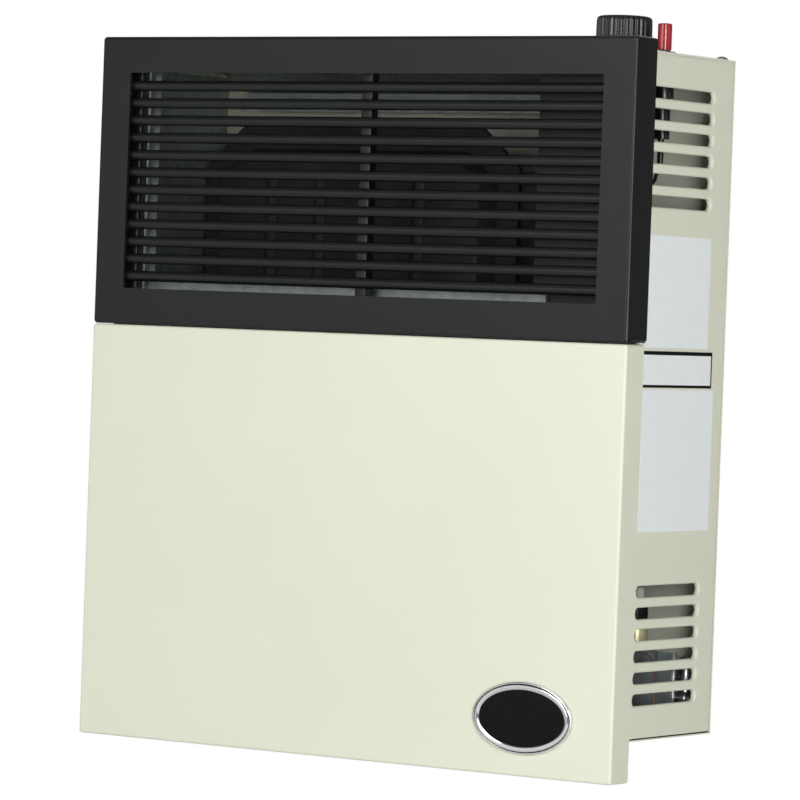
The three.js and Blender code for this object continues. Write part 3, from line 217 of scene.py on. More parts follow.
class Material:
    """A node material with one Principled shader and textures laid out in the object's own space."""

    def __init__(self, name, roughness, metallic=0.0, specular=0.5, coat=0.0, coat_roughness=0.1):
        self.data = bpy.data.materials.new(name)
        self.data.use_nodes = True
        self.tree = self.data.node_tree
        self.tree.nodes.clear()
        output = self.node("ShaderNodeOutputMaterial")
        self.shader = self.node("ShaderNodeBsdfPrincipled")
        self.link(self.shader.outputs["BSDF"], output.inputs["Surface"])
        self.shader.inputs["Roughness"].default_value = roughness
        self.shader.inputs["Metallic"].default_value = metallic
        self.shader.inputs["Specular IOR Level"].default_value = specular
        self.shader.inputs["Coat Weight"].default_value = coat
        self.shader.inputs["Coat Roughness"].default_value = coat_roughness
        self.place = self.node("ShaderNodeTexCoord").outputs["Object"]

    def node(self, kind, **settings):
        made = self.tree.nodes.new(kind)
        for key, value in settings.items():
            setattr(made, key, value)
        return made

    def link(self, source, target):
        self.tree.links.new(source, target)

    def stretched(self, x, y, z):
        """The object's space stretched, for brushed and drawn marks."""
        mapping = self.node("ShaderNodeMapping")
        mapping.inputs["Scale"].default_value = (x, y, z)
        self.link(self.place, mapping.inputs["Vector"])
        return mapping.outputs["Vector"]

    def noise(self, scale, detail=2.0, roughness=0.5, place=None):
        made = self.node("ShaderNodeTexNoise")
        made.inputs["Scale"].default_value = scale
        made.inputs["Detail"].default_value = detail
        made.inputs["Roughness"].default_value = roughness
        self.link(place or self.place, made.inputs["Vector"])
        return made.outputs["Fac"]

    def cells(self, scale, output="Color", randomness=1.0):
        made = self.node("ShaderNodeTexVoronoi")
        made.inputs["Scale"].default_value = scale
        made.inputs["Randomness"].default_value = randomness
        self.link(self.place, made.inputs["Vector"])
        return made.outputs[output]

    def ramp(self, value, stops):
        """A colour ramp; each stop is a position and a linear colour."""
        made = self.node("ShaderNodeValToRGB")
        elements = made.color_ramp.elements
        while len(elements) < len(stops):
            elements.new(0.5)
        for element, (position, colour) in zip(elements, stops):
            element.position = position
            element.color = (*colour, 1.0)
        self.link(value, made.inputs["Fac"])
        return made.outputs["Color"]

    def ranged(self, value, low, high, start=0.3, end=0.7):
        made = self.node("ShaderNodeMapRange")
        made.inputs["From Min"].default_value = start
        made.inputs["From Max"].default_value = end
        made.inputs["To Min"].default_value = low
        made.inputs["To Max"].default_value = high
        self.link(value, made.inputs["Value"])
        return made.outputs["Result"]

    def colour(self, source):
        self.link(source, self.shader.inputs["Base Color"])
        return self

    def rough(self, source):
        self.link(source, self.shader.inputs["Roughness"])
        return self

    def bump(self, height, strength, distance=0.0003):
        made = self.node("ShaderNodeBump")
        made.inputs["Strength"].default_value = strength
        made.inputs["Distance"].default_value = distance
        self.link(height, made.inputs["Height"])
        previous = self.shader.inputs["Normal"].links
        if previous:
            self.link(previous[0].from_socket, made.inputs["Normal"])
        self.link(made.outputs["Normal"], self.shader.inputs["Normal"])
        return self


def srgb(*values):
    """A linear colour from 8-bit display values."""
    out = []
    for value in values:
        v = value / 255
        out.append(v / 12.92 if v <= 0.04045 else ((v + 0.055) / 1.055) ** 2.4)
    return tuple(out)


def shade(colour, factor):
    return tuple(min(1.0, c * factor) for c in colour)


def cream_paint():
    base = srgb(221, 223, 204)
    m = Material("cream_paint_look", roughness=0.4, specular=0.35)
    m.colour(m.ramp(m.noise(5.0, 3.0), [(0.35, shade(base, 0.985)), (0.65, shade(base, 1.012))]))
    m.rough(m.ranged(m.noise(60.0, 3.0), 0.36, 0.44))
    return m.bump(m.noise(900.0, 2.0), 0.05, 0.0002)


def black_paint():
    base = srgb(17, 18, 19)
    m = Material("black_paint_look", roughness=0.34, specular=0.4)
    m.colour(m.ramp(m.noise(30.0, 3.0), [(0.35, shade(base, 0.9)), (0.65, shade(base, 1.1))]))
    m.rough(m.ranged(m.noise(70.0, 3.0), 0.31, 0.38))
    return m.bump(m.noise(1300.0, 2.0), 0.12, 0.0002)


def heat_black():
    base = srgb(30, 30, 31)
    m = Material("heat_black_look", roughness=0.62, specular=0.3)
    m.colour(m.ramp(m.noise(22.0, 5.0), [(0.3, shade(base, 0.7)), (0.7, shade(base, 1.5))]))
    m.rough(m.ranged(m.noise(40.0, 4.0), 0.5, 0.72))
    return m.bump(m.noise(800.0, 3.0), 0.25, 0.0003)


def galvanised():
    m = Material("galvanised_look", roughness=0.4, metallic=0.8)
    spangle = m.node("ShaderNodeSeparateColor")
    m.link(m.cells(150.0), spangle.inputs["Color"])
    m.colour(
        m.ramp(
            spangle.outputs["Red"],
            [(0.0, srgb(146, 154, 154)), (0.45, srgb(154, 162, 162)), (1.0, srgb(164, 172, 171))],
        )
    )
    m.rough(m.ranged(spangle.outputs["Green"], 0.36, 0.46, 0.0, 1.0))
    return m.bump(m.noise(260.0, 3.0), 0.12, 0.0003)


def steel():
    base = srgb(186, 188, 190)
    m = Material("steel_look", roughness=0.32, metallic=1.0)
    drawn = m.noise(40.0, 4.0, 0.6, m.stretched(12.0, 12.0, 1.0))
    m.colour(m.ramp(drawn, [(0.3, shade(base, 0.82)), (0.7, base)]))
    m.rough(m.ranged(m.noise(90.0, 3.0), 0.26, 0.4))
    return m.bump(drawn, 0.06, 0.0002)


def aluminium():
    base = srgb(150, 153, 158)
    m = Material("aluminium_look", roughness=0.45, metallic=0.85)
    m.colour(m.ramp(m.noise(50.0, 5.0), [(0.3, shade(base, 0.72)), (0.7, base)]))
    m.rough(m.ranged(m.noise(120.0, 3.0), 0.38, 0.55))
    return m.bump(m.noise(700.0, 4.0), 0.25, 0.0003)


def turned_metal(name, base, roughness, metallic=1.0):
    m = Material(name, roughness=roughness, metallic=metallic)
    rings = m.noise(30.0, 3.0, 0.5, m.stretched(2.0, 2.0, 40.0))
    m.colour(m.ramp(m.noise(60.0, 3.0), [(0.3, shade(base, 0.86)), (0.7, base)]))
    m.rough(m.ranged(m.noise(80.0, 3.0), roughness - 0.05, roughness + 0.07))
    return m.bump(rings, 0.08, 0.0002)


def brass():
    return turned_metal("brass_look", srgb(240, 228, 184), 0.34, 0.6)


def copper():
    return turned_metal("copper_look", srgb(168, 104, 78), 0.34, 0.9)


def chrome():
    base = srgb(238, 238, 238)
    m = Material("chrome_look", roughness=0.12, metallic=1.0)
    m.colour(m.ramp(m.noise(120.0, 2.0), [(0.3, shade(base, 0.95)), (0.7, base)]))
    m.rough(m.ranged(m.noise(150.0, 2.0), 0.09, 0.15))
    return m.bump(m.noise(500.0, 1.0), 0.01, 0.0002)


def black_plastic():
    base = srgb(18, 18, 20)
    m = Material("black_plastic_look", roughness=0.27, specular=0.6)
    m.colour(m.ramp(m.noise(90.0, 3.0), [(0.3, shade(base, 0.85)), (0.7, shade(base, 1.15))]))
    m.rough(m.ranged(m.noise(120.0, 3.0), 0.24, 0.31))
    return m.bump(m.noise(1600.0, 2.0), 0.05, 0.0002)


def badge_black():
    base = srgb(11, 12, 13)
    m = Material("badge_black_look", roughness=0.36, specular=0.12)
    m.colour(m.ramp(m.noise(300.0, 2.0), [(0.3, shade(base, 0.8)), (0.7, shade(base, 1.2))]))
    m.rough(m.ranged(m.noise(200.0, 2.0), 0.26, 0.36))
    return m.bump(m.noise(1800.0, 2.0), 0.02, 0.0001)


def red_plastic():
    base = srgb(164, 38, 42)
    m = Material("red_plastic_look", roughness=0.1, specular=0.7)
    m.colour(m.ramp(m.noise(150.0, 2.0), [(0.3, shade(base, 0.92)), (0.7, base)]))
    m.rough(m.ranged(m.noise(120.0, 2.0), 0.08, 0.12))
    return m.bump(m.noise(900.0, 1.0), 0.02, 0.0002)


def gasket_fibre():
    base = srgb(206, 201, 186)
    m = Material("gasket_look", roughness=0.95, specular=0.2)
    m.colour(m.ramp(m.noise(300.0, 5.0), [(0.3, shade(base, 0.8)), (0.7, base)]))
    return m.bump(m.noise(900.0, 5.0), 0.6, 0.0004)


def ceramic():
    base = srgb(232, 229, 220)
    m = Material("ceramic_look", roughness=0.3)
    m.colour(m.ramp(m.noise(200.0, 3.0), [(0.3, shade(base, 0.95)), (0.7, base)]))
    return m.bump(m.noise(500.0, 2.0), 0.05, 0.0002)


def sight_glass():
    m = Material("sight_glass_look", roughness=0.06)
    m.shader.inputs["Transmission Weight"].default_value = 0.8
    m.colour(m.ramp(m.noise(80.0, 2.0), [(0.3, srgb(196, 214, 208)), (0.7, srgb(214, 226, 222))]))
    return m.bump(m.noise(300.0, 2.0), 0.03, 0.0002)


def label_film():
    base = srgb(236, 241, 241)
    m = Material("label_film_look", roughness=0.5, specular=0.35)
    m.colour(m.ramp(m.noise(120.0, 3.0), [(0.3, shade(base, 0.975)), (0.7, base)]))
    m.rough(m.ranged(m.noise(200.0, 3.0), 0.45, 0.56))
    return m.bump(m.noise(1500.0, 3.0), 0.1, 0.0001)


def label_border():
    base = srgb(9, 9, 10)
    m = Material("label_border_look", roughness=0.5, specular=0.15)
    m.colour(m.ramp(m.noise(300.0, 3.0), [(0.3, shade(base, 0.9)), (0.7, shade(base, 1.2))]))
    return m.bump(m.noise(1500.0, 3.0), 0.1, 0.0001)


SLEEVE_EDGE = (-0.115, -0.113)


def wire_cover():
    """Red over the lower run and a black sleeve over the upper one."""
    m = Material("wire_cover_look", roughness=0.45)
    parts = m.node("ShaderNodeSeparateXYZ")
    m.link(m.place, parts.inputs["Vector"])
    height = m.ranged(parts.outputs["Z"], 0.0, 1.0, *SLEEVE_EDGE)
    m.colour(m.ramp(height, [(0.45, srgb(176, 56, 36)), (0.55, srgb(22, 22, 24))]))
    m.rough(m.ranged(m.noise(140.0, 2.0), 0.38, 0.5))
    return m.bump(m.noise(1200.0, 2.0), 0.1, 0.0002)


LOOKS = {
    "cream_paint": cream_paint(),
    "black_paint": black_paint(),
    "heat_black": heat_black(),
    "galvanised": galvanised(),
    "steel": steel(),
    "aluminium": aluminium(),
    "brass": brass(),
    "copper": copper(),
    "chrome": chrome(),
    "black_plastic": black_plastic(),
    "red_plastic": red_plastic(),
    "gasket_fibre": gasket_fibre(),
    "ceramic": ceramic(),
    "sight_glass": sight_glass(),
    "label_film": label_film(),
    "wire_cover": wire_cover(),
}
BADGE_BLACK = badge_black()
LABEL_BORDER = label_border()


def look(slot):
    return LOOKS[slot].data


# ---------- CAD nodes: smooth bends and their own materials ----------

CRISP_ANGLE = 50
LEAD_TRIM = -0.0005


def crisp_edges():
    """A node group that shades smoothly but keeps edges over a given angle sharp."""
    group = bpy.data.node_groups.new("smooth with crisp edges", "GeometryNodeTree")
    socket = "NodeSocketGeometry"
    group.interface.new_socket("Geometry", in_out="INPUT", socket_type=socket)
    group.interface.new_socket("Geometry", in_out="OUTPUT", socket_type=socket)
    source = group.nodes.new("NodeGroupInput")
    target = group.nodes.new("NodeGroupOutput")
    faces = group.nodes.new("GeometryNodeSetShadeSmooth")
    faces.domain = "FACE"
    edges = group.nodes.new("GeometryNodeSetShadeSmooth")
    edges.domain = "EDGE"
    edges.inputs["Shade Smooth"].default_value = False
    angle = group.nodes.new("GeometryNodeInputMeshEdgeAngle")
    sharp = group.nodes.new("FunctionNodeCompare")
    sharp.data_type = "FLOAT"
    sharp.operation = "GREATER_THAN"
    sharp.inputs["B"].default_value = math.radians(CRISP_ANGLE)
    group.links.new(source.outputs[0], faces.inputs["Geometry"])
    group.links.new(faces.outputs["Geometry"], edges.inputs["Geometry"])
    group.links.new(angle.outputs["Unsigned Angle"], sharp.inputs["A"])
    group.links.new(sharp.outputs["Result"], edges.inputs["Selection"])
    group.links.new(edges.outputs["Geometry"], target.inputs[0])
    return group


def dress_cad_nodes():
    group = crisp_edges()
    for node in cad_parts.values():
        slot = node.data.materials[0].name
        node.data.materials[0] = look(slot)
        if "custom_normal" in node.data.attributes:
            node.data.attributes.remove(node.data.attributes["custom_normal"])
        node.data.shade_smooth()
        weld = node.modifiers.new("joined faces", "WELD")
        weld.merge_threshold = WELD_DISTANCE
        if node.name.startswith("thermocouple_lead"):
            slim = node.modifiers.new("slim lead", "DISPLACE")
            slim.mid_level = 0.0
            slim.strength = LEAD_TRIM
        crisp = node.modifiers.new("crisp edges", "NODES")
        crisp.node_group = group
        weigh(node)


# ---------- Camera, light and floor ----------

VIEW_AZIMUTH = math.radians(33.60)
VIEW_PITCH = math.radians(1.03)
VIEW_ROLL = math.radians(2.13)
VIEW_TARGET = at(11.5, -90.0, 262.2)
VIEW_DISTANCE = 3.448
FOCAL_PIXELS = 4681.0
IMAGE_SIZE = 800.0
SENSOR = 36.0


def make_camera():
    back = Vector(
        (
            math.sin(VIEW_AZIMUTH) * math.cos(VIEW_PITCH),
            -math.cos(VIEW_AZIMUTH) * math.cos(VIEW_PITCH),
            math.sin(VIEW_PITCH),
        )
    )
    level = Vector((math.cos(VIEW_AZIMUTH), math.sin(VIEW_AZIMUTH), 0.0))
    rise = back.cross(level)
    right = math.cos(VIEW_ROLL) * level + math.sin(VIEW_ROLL) * rise
    up = -math.sin(VIEW_ROLL) * level + math.cos(VIEW_ROLL) * rise
    data = bpy.data.cameras.new("camera")
    data.sensor_width = SENSOR
    data.lens = FOCAL_PIXELS * SENSOR / IMAGE_SIZE
    data.clip_start = 0.05
    data.clip_end = 200.0
    camera = bpy.data.objects.new("camera", data)
    bpy.context.scene.collection.objects.link(camera)
    place = VIEW_TARGET + back * VIEW_DISTANCE
    camera.matrix_world = Matrix(
        (
            (right.x, up.x, back.x, place.x),
            (right.y, up.y, back.y, place.y),
            (right.z, up.z, back.z, place.z),
            (0.0, 0.0, 0.0, 1.0),
        )
    )
    bpy.context.scene.camera = camera


LAMP_TARGET = Vector((0.0, -0.09, 0.0))
LAMPS = (  # name, azimuth, rise, distance, width, height, power
    ("key", -7.0, 16.0, 3.2, 1.5, 2.0, 32.0),
    ("strip", 48.0, 4.0, 2.8, 0.8, 2.4, 59.0),
    ("fill", -36.0, 4.0, 3.4, 2.0, 2.2, 8.0),
    ("side", 100.0, 10.0, 3.0, 1.2, 2.0, 4.0),
    ("left", -105.0, 8.0, 3.2, 1.6, 2.0, 9.0),
    ("back", 205.0, 20.0, 3.2, 2.0, 2.0, 13.0),
    ("top", 0.0, 80.0, 2.6, 2.6, 1.8, 8.0),
)


def softbox(name, azimuth, rise, distance, width, height, power):
    """An area lamp that faces the heater; azimuth is measured from its front towards its right."""
    turn = math.radians(azimuth)
    lift = math.radians(rise)
    way = Vector(
        (math.sin(turn) * math.cos(lift), -math.cos(turn) * math.cos(lift), math.sin(lift))
    )
    data = bpy.data.lights.new(name, "AREA")
    data.shape = "RECTANGLE"
    data.size = width
    data.size_y = height
    data.energy = power
    lamp = bpy.data.objects.new(name, data)
    bpy.context.scene.collection.objects.link(lamp)
    lamp.location = LAMP_TARGET + way * distance
    lamp.rotation_euler = way.to_track_quat("Z", "Y").to_euler()


AMBIENT = 0.16
WHITE = (1.0, 1.0, 1.0, 1.0)


def make_world():
    world = bpy.data.worlds.new("studio")
    bpy.context.scene.world = world
    world.use_nodes = True
    tree = world.node_tree
    tree.nodes.clear()
    output = tree.nodes.new("ShaderNodeOutputWorld")
    soft = tree.nodes.new("ShaderNodeBackground")
    white = tree.nodes.new("ShaderNodeBackground")
    mix = tree.nodes.new("ShaderNodeMixShader")
    soft.inputs["Color"].default_value = WHITE
    soft.inputs["Strength"].default_value = AMBIENT
    white.inputs["Color"].default_value = WHITE
    white.inputs["Strength"].default_value = 1.0
    tree.links.new(seen_rays(tree), mix.inputs["Fac"])
    tree.links.new(soft.outputs[0], mix.inputs[1])
    tree.links.new(white.outputs[0], mix.inputs[2])
    tree.links.new(mix.outputs[0], output.inputs["Surface"])


def seen_rays(tree):
    """1 for camera and transmission rays, else 0."""
    path = tree.nodes.new("ShaderNodeLightPath")
    most = tree.nodes.new("ShaderNodeMath")
    most.operation = "MAXIMUM"
    tree.links.new(path.outputs["Is Camera Ray"], most.inputs[0])
    tree.links.new(path.outputs["Is Transmission Ray"], most.inputs[1])
    return most.outputs[0]


FLOOR_Z = -0.62
FLOOR_HALF = 30.0
SHADOW_REACH = (0.7, 2.2)
FLOOR_GREY = 0.86
NEAR_GLOW = 0.55


def floor_material():
    """White floor: near the heater it keeps its shadow, further out it is plain white."""
    material = bpy.data.materials.new("floor_look")
    material.use_nodes = True
    tree = material.node_tree
    tree.nodes.clear()
    output = tree.nodes.new("ShaderNodeOutputMaterial")
    matt = tree.nodes.new("ShaderNodeBsdfDiffuse")
    matt.inputs["Color"].default_value = (FLOOR_GREY, FLOOR_GREY, FLOOR_GREY, 1.0)
    glow = tree.nodes.new("ShaderNodeEmission")
    glow.inputs["Strength"].default_value = 1.0
    mix = tree.nodes.new("ShaderNodeMixShader")
    place = tree.nodes.new("ShaderNodeTexCoord")
    length = tree.nodes.new("ShaderNodeVectorMath")
    length.operation = "LENGTH"
    fade = tree.nodes.new("ShaderNodeMapRange")
    fade.inputs["From Min"].default_value = SHADOW_REACH[0]
    fade.inputs["From Max"].default_value = SHADOW_REACH[1]
    fade.inputs["To Min"].default_value = NEAR_GLOW
    fade.inputs["To Max"].default_value = 1.0
    both = tree.nodes.new("ShaderNodeMath")
    both.operation = "MULTIPLY"
    tree.links.new(place.outputs["Object"], length.inputs[0])
    tree.links.new(length.outputs["Value"], fade.inputs["Value"])
    tree.links.new(fade.outputs["Result"], both.inputs[0])
    tree.links.new(seen_rays(tree), both.inputs[1])
    tree.links.new(both.outputs[0], mix.inputs["Fac"])
    tree.links.new(matt.outputs[0], mix.inputs[1])
    tree.links.new(glow.outputs[0], mix.inputs[2])
    tree.links.new(mix.outputs[0], output.inputs["Surface"])
    return material


def make_floor():
    mesh = bpy.data.meshes.new("floor")
    side = FLOOR_HALF
    corners = [(-side, -side, 0.0), (side, -side, 0.0), (side, side, 0.0), (-side, side, 0.0)]
    mesh.from_pydata(corners, [], [(0, 1, 2, 3)])
    floor = bpy.data.objects.new("floor", mesh)
    bpy.context.scene.collection.objects.link(floor)
    floor.location = (0.0, 0.0, FLOOR_Z)
    floor.data.materials.append(floor_material())


# ---------- Side panels: rolled slots ----------

BEND = 1.5
SLOT_LENGTH = 88.0
SLOT_HEIGHT = 8.3
SLOT_PITCH = 15.4
SLOT_BANDS = ((489.0, 28.0), (135.0, 24.0))  # height of the top slot, setback of its rear end
SLOTS_PER_BAND = 6
SLOT_RIM = 3.5
RIM_WALL = 0.9
RIM_ROLL = 1.9
RIM_EASE = 0.3
RIM_ROUND = 0.25
RIM_SPREAD = 1.2
FRONT_RETURN = 27.5
REAR_RETURN = 12.0
END_FLANGE = 12.0
TOP_HEM_DEPTH = (0.6, 0.03)
TOP_HEM_HEIGHT = (0.8, 0.95)
EASE = 0.4  # a flat margin round each bend, so that shading stays level across the sheet


def slot_places():
    places = []
    for top, rear in SLOT_BANDS:
        for i in range(SLOTS_PER_BAND):
            places.append((-rear - SLOT_LENGTH / 2, top - i * SLOT_PITCH))
    return places


def slot_ring(side, place, grow, depth):
    outline = stadium(place[0], place[1], SLOT_LENGTH, SLOT_HEIGHT, grow)
    return [(side * (CABINET_HALF - depth), y, z) for y, z in outline]


def slot_rim(side, place):
    """The sheet rolls inwards over a quarter turn and comes back up behind itself."""
    rings = []
    for turn in quarter_turn(6):
        grow = RIM_ROLL * (1 - math.sin(turn))
        rings.append(slot_ring(side, place, grow, RIM_ROLL * (1 - math.cos(turn))))
    for grow, depth in (
        (0.0, SLOT_RIM - RIM_EASE),
        (RIM_ROUND, SLOT_RIM),
        (RIM_WALL - RIM_ROUND, SLOT_RIM),
        (RIM_WALL, SLOT_RIM - RIM_EASE),
        (RIM_WALL, SHEET + 0.6),
        (RIM_WALL + RIM_SPREAD, SHEET),
    ):
        rings.append(slot_ring(side, place, grow, depth))
    return rings


def channel_edge(end, width):
    """Section of one folded edge of the side panel, outer line then inner line, as x and y."""
    y = CABINET_FRONT if end < 0 else CABINET_REAR
    outer = []
    inner = []
    for turn in quarter_turn(6):
        dx = math.cos(turn)
        dy = end * math.sin(turn)
        outer.append((CABINET_HALF - BEND + BEND * dx, y - end * BEND + BEND * dy))
        small = BEND - SHEET
        inner.append((CABINET_HALF - BEND + small * dx, y - end * BEND + small * dy))
    outer.append((CABINET_HALF - width, y))
    inner.append((CABINET_HALF - width, y - end * SHEET))
    return outer + inner[::-1]


def rectangle_x(x, front, rear, low, high):
    return [(x, front, low), (x, rear, low), (x, rear, high), (x, front, high)]


def side_panel(side, name):
    shape = Shape()
    front = CABINET_FRONT + BEND
    rear = CABINET_REAR - BEND
    for depth, grow in ((0.0, RIM_ROLL), (SHEET, RIM_WALL + RIM_SPREAD)):
        x = side * (CABINET_HALF - depth)
        bounds = [rectangle_x(x, front + m, rear - m, SIDE_LOW + m, SIDE_HIGH - m) for m in (0.0, EASE)]
        shape.skin(bounds, caps=False)
        holes = [slot_ring(side, place, grow + EASE, depth) for place in slot_places()]
        shape.flat([bounds[1]] + holes)
        for place, hole in zip(slot_places(), holes):
            shape.skin([hole, slot_ring(side, place, grow, depth)], caps=False)
    for place in slot_places():
        shape.skin(slot_rim(side, place), caps=False)
    for end, width in ((-1, FRONT_RETURN), (1, REAR_RETURN)):
        section = channel_edge(end, width)
        rings = [[(side * x, y, z) for x, y in section] for z in (SIDE_LOW, SIDE_HIGH)]
        shape.skin(rings)
    for z in (SIDE_LOW, SIDE_HIGH - SHEET):
        xs = sorted((side * (CABINET_HALF - END_FLANGE), side * CABINET_HALF))
        shape.box(xs, (front, rear), (z, z + SHEET))
    inwards, outwards = TOP_HEM_DEPTH
    below, above = TOP_HEM_HEIGHT
    hem = sorted((side * (CABINET_HALF - inwards), side * (CABINET_HALF + outwards)))
    shape.box(hem, (CABINET_FRONT, CABINET_REAR), (SIDE_HIGH - below, SIDE_HIGH + above))
    node = "side_panel_" + ("right" if side > 0 else "left")
    shape.made(name, look("cream_paint"), "cabinet", "cream_paint", replaced=(node,), weighted=True)


# ---------- Cream front of the cover ----------

COVER_BEND = 2.0
COVER_LOW = 0.0
COVER_SEAM = 310.0
FRONT_RIM = -117.8
HEM = 0.25


def cover_ring(inset, y):
    """Outline of the pressing at one depth, with small round corners."""
    radius = max(COVER_BEND - inset, 0.3)
    middle = (COVER_LOW + COVER_SEAM) / 2
    outline = rounded_square(COVER_HALF - inset, (COVER_SEAM - COVER_LOW) / 2 - inset, radius)
    return [(x, y, middle + z) for x, z in outline]


def cream_front():
    """The lower pressing: flat face, rolled bends, sides that run back and a flange at the seam."""
    rings = [cover_ring(HEM, FRONT_RIM), cover_ring(0.0, FRONT_RIM - HEM)]
    for turn in quarter_turn(8):
        inset = COVER_BEND * (1 - math.cos(turn))
        rings.append(cover_ring(inset, FACE_Y + COVER_BEND * (1 - math.sin(turn))))
    rings.append(cover_ring(COVER_BEND + EASE, FACE_Y))
    inner = [cover_ring(COVER_BEND + EASE, FACE_Y + SHEET), cover_ring(SHEET, FACE_Y + SHEET + 1.0)]
    inner += [cover_ring(SHEET, FRONT_RIM - HEM), cover_ring(SHEET - HEM, FRONT_RIM)]
    shape = Shape()
    shape.skin(rings, caps=False)
    shape.skin(inner, caps=False)
    shape.skin([inner[-1], rings[0]], caps=False)
    for ring in (rings[-1], inner[0]):
        shape.add(ring, [tuple(range(len(ring)))])
    paint = look("cream_paint")
    hides = ("front_panel",)
    shape.made("front_pressing", paint, "front_cover", "cream_paint", replaced=hides, weighted=True)


# ---------- Rod grille ----------

ROD_RADIUS = 3.95
ROD_PITCH = 13.0
ROD_COUNT = 12
ROD_EASE = 0.8
ROD_Y = -134.75
ROD_REACH = 216.0
SUPPORT_X = (-209.0, 0.0, 209.0)
SUPPORT_SIZE = 9.2
SUPPORT_FRONT = -131.4
SUPPORT_EASE = 0.6
FOOT_LOW = 326.5
FOOT_HIGH = 510.5
FOOT_HEIGHT = 9.0
FRAME_INNER = -140.7


def rod_heights():
    middle = (OPENING_LOW + OPENING_HIGH) / 2
    return [middle + (i - (ROD_COUNT - 1) / 2) * ROD_PITCH for i in range(ROD_COUNT)]


def rod_grille():
    shape = Shape()
    for z in rod_heights():
        rings = []
        for x, r in (
            (-ROD_REACH, ROD_RADIUS - ROD_EASE),
            (-ROD_REACH + ROD_EASE, ROD_RADIUS),
            (ROD_REACH - ROD_EASE, ROD_RADIUS),
            (ROD_REACH, ROD_RADIUS - ROD_EASE),
        ):
            rings.append(ring_x(r, x, (ROD_Y, z), 32))
        shape.skin(rings)
    half = SUPPORT_SIZE / 2
    for x in SUPPORT_X:
        section = rounded_square(half, half, 1.0)
        middle_y = SUPPORT_FRONT + half
        rings = []
        for z, inset in (
            (FOOT_LOW, SUPPORT_EASE),
            (FOOT_LOW + SUPPORT_EASE, 0.0),
            (FOOT_HIGH - SUPPORT_EASE, 0.0),
            (FOOT_HIGH, SUPPORT_EASE),
        ):
            scale = (half - inset) / half
            rings.append([(x + px * scale, middle_y + py * scale, z) for px, py in section])
        shape.skin(rings)
        for low in (FOOT_LOW, FOOT_HIGH - FOOT_HEIGHT):
            foot(shape, x, low)
    paint = look("black_paint")
    shape.made("rods_and_supports", paint, "front_cover", "black_paint", replaced=("rod_grille",))


def foot(shape, x, low):
    """The pad at each end of a support, with rounded front corners."""
    section = rounded_square(SUPPORT_SIZE / 2, FOOT_HEIGHT / 2, 2.2)
    middle = low + FOOT_HEIGHT / 2
    rings = []
    for y, scale in ((FRAME_INNER, 0.92), (FRAME_INNER + 0.5, 1.0), (SUPPORT_FRONT + SUPPORT_EASE, 1.0)):
        rings.append([(x + px * scale, y, middle + pz * scale) for px, pz in section])
    shape.skin(rings)


# ---------- Controls ----------

KNOB_PROFILE = ((531.4, 20.35), (542.6, 20.2), (544.4, 19.9), (545.4, 19.2), (546.0, 18.2), (546.3, 16.8))
KNOB_SKIRT = ((524.0, 17.2), (524.0, 21.6), (524.5, 22.1), (530.8, 22.1), (531.3, 21.8), (531.5, 21.2))
KNOB_TOP = 546.3
KNOB_DISH = 546.05
KNOB_HUB = 2.0
KNOB_RIBS = 30
RIB_DEPTH = 0.95
RIB_FADE = (1.0, 1.0, 0.9, 0.65, 0.3, 0.0)
BUTTON_PROFILE = ((521.8, 4.9), (522.0, 5.15), (539.9, 5.15), (540.5, 5.0), (540.85, 4.6), (541.0, 3.9))


def knob():
    centre = (KNOB_X, CONTROL_Y)
    sides = KNOB_RIBS * 12
    shape = Shape()
    rings = turned(KNOB_SKIRT, centre, sides)
    for (z, radius), share in zip(KNOB_PROFILE, RIB_FADE):
        depth = RIB_DEPTH * share

        def wave(turn, depth=depth):
            groove = 0.5 + 0.5 * math.cos(KNOB_RIBS * turn)
            return -depth * groove ** 1.6

        rings.append(ring_z(radius, z, centre, sides, wave))
    shape.skin(rings, caps=False)
    dish = ((KNOB_TOP, 16.8), (KNOB_TOP, 16.2), (KNOB_DISH, 15.6), (KNOB_DISH, KNOB_HUB))
    top = turned(dish, centre, sides)
    shape.skin(top, caps=False)
    shape.add(top[-1], [tuple(range(sides))])
    plastic = look("black_plastic")
    shape.made("knob_ribbed", plastic, "knob", "black_plastic", replaced=("control_knob",), angle=50)


def button():
    centre = (BUTTON_X, CONTROL_Y)
    shape = Shape()
    shape.skin(turned(BUTTON_PROFILE, centre, 48))
    plastic = look("red_plastic")
    shape.made("button_red", plastic, "button", "red_plastic", replaced=("igniter_button",), angle=50)


# ---------- Badge ----------

BADGE_HALF = (41.5, 26.0)
BADGE_FRONT = -144.9
BADGE_STEPS = 128
FACE_FLAT = 12.0
FACE_DEPTH = 0.62


def oval(inset, y):
    half_x = BADGE_HALF[0] - inset
    half_z = BADGE_HALF[1] - inset
    turns = [2 * math.pi * i / BADGE_STEPS for i in range(BADGE_STEPS)]
    return [(BADGE[0] + half_x * math.cos(t), y, BADGE[1] + half_z * math.sin(t)) for t in turns]


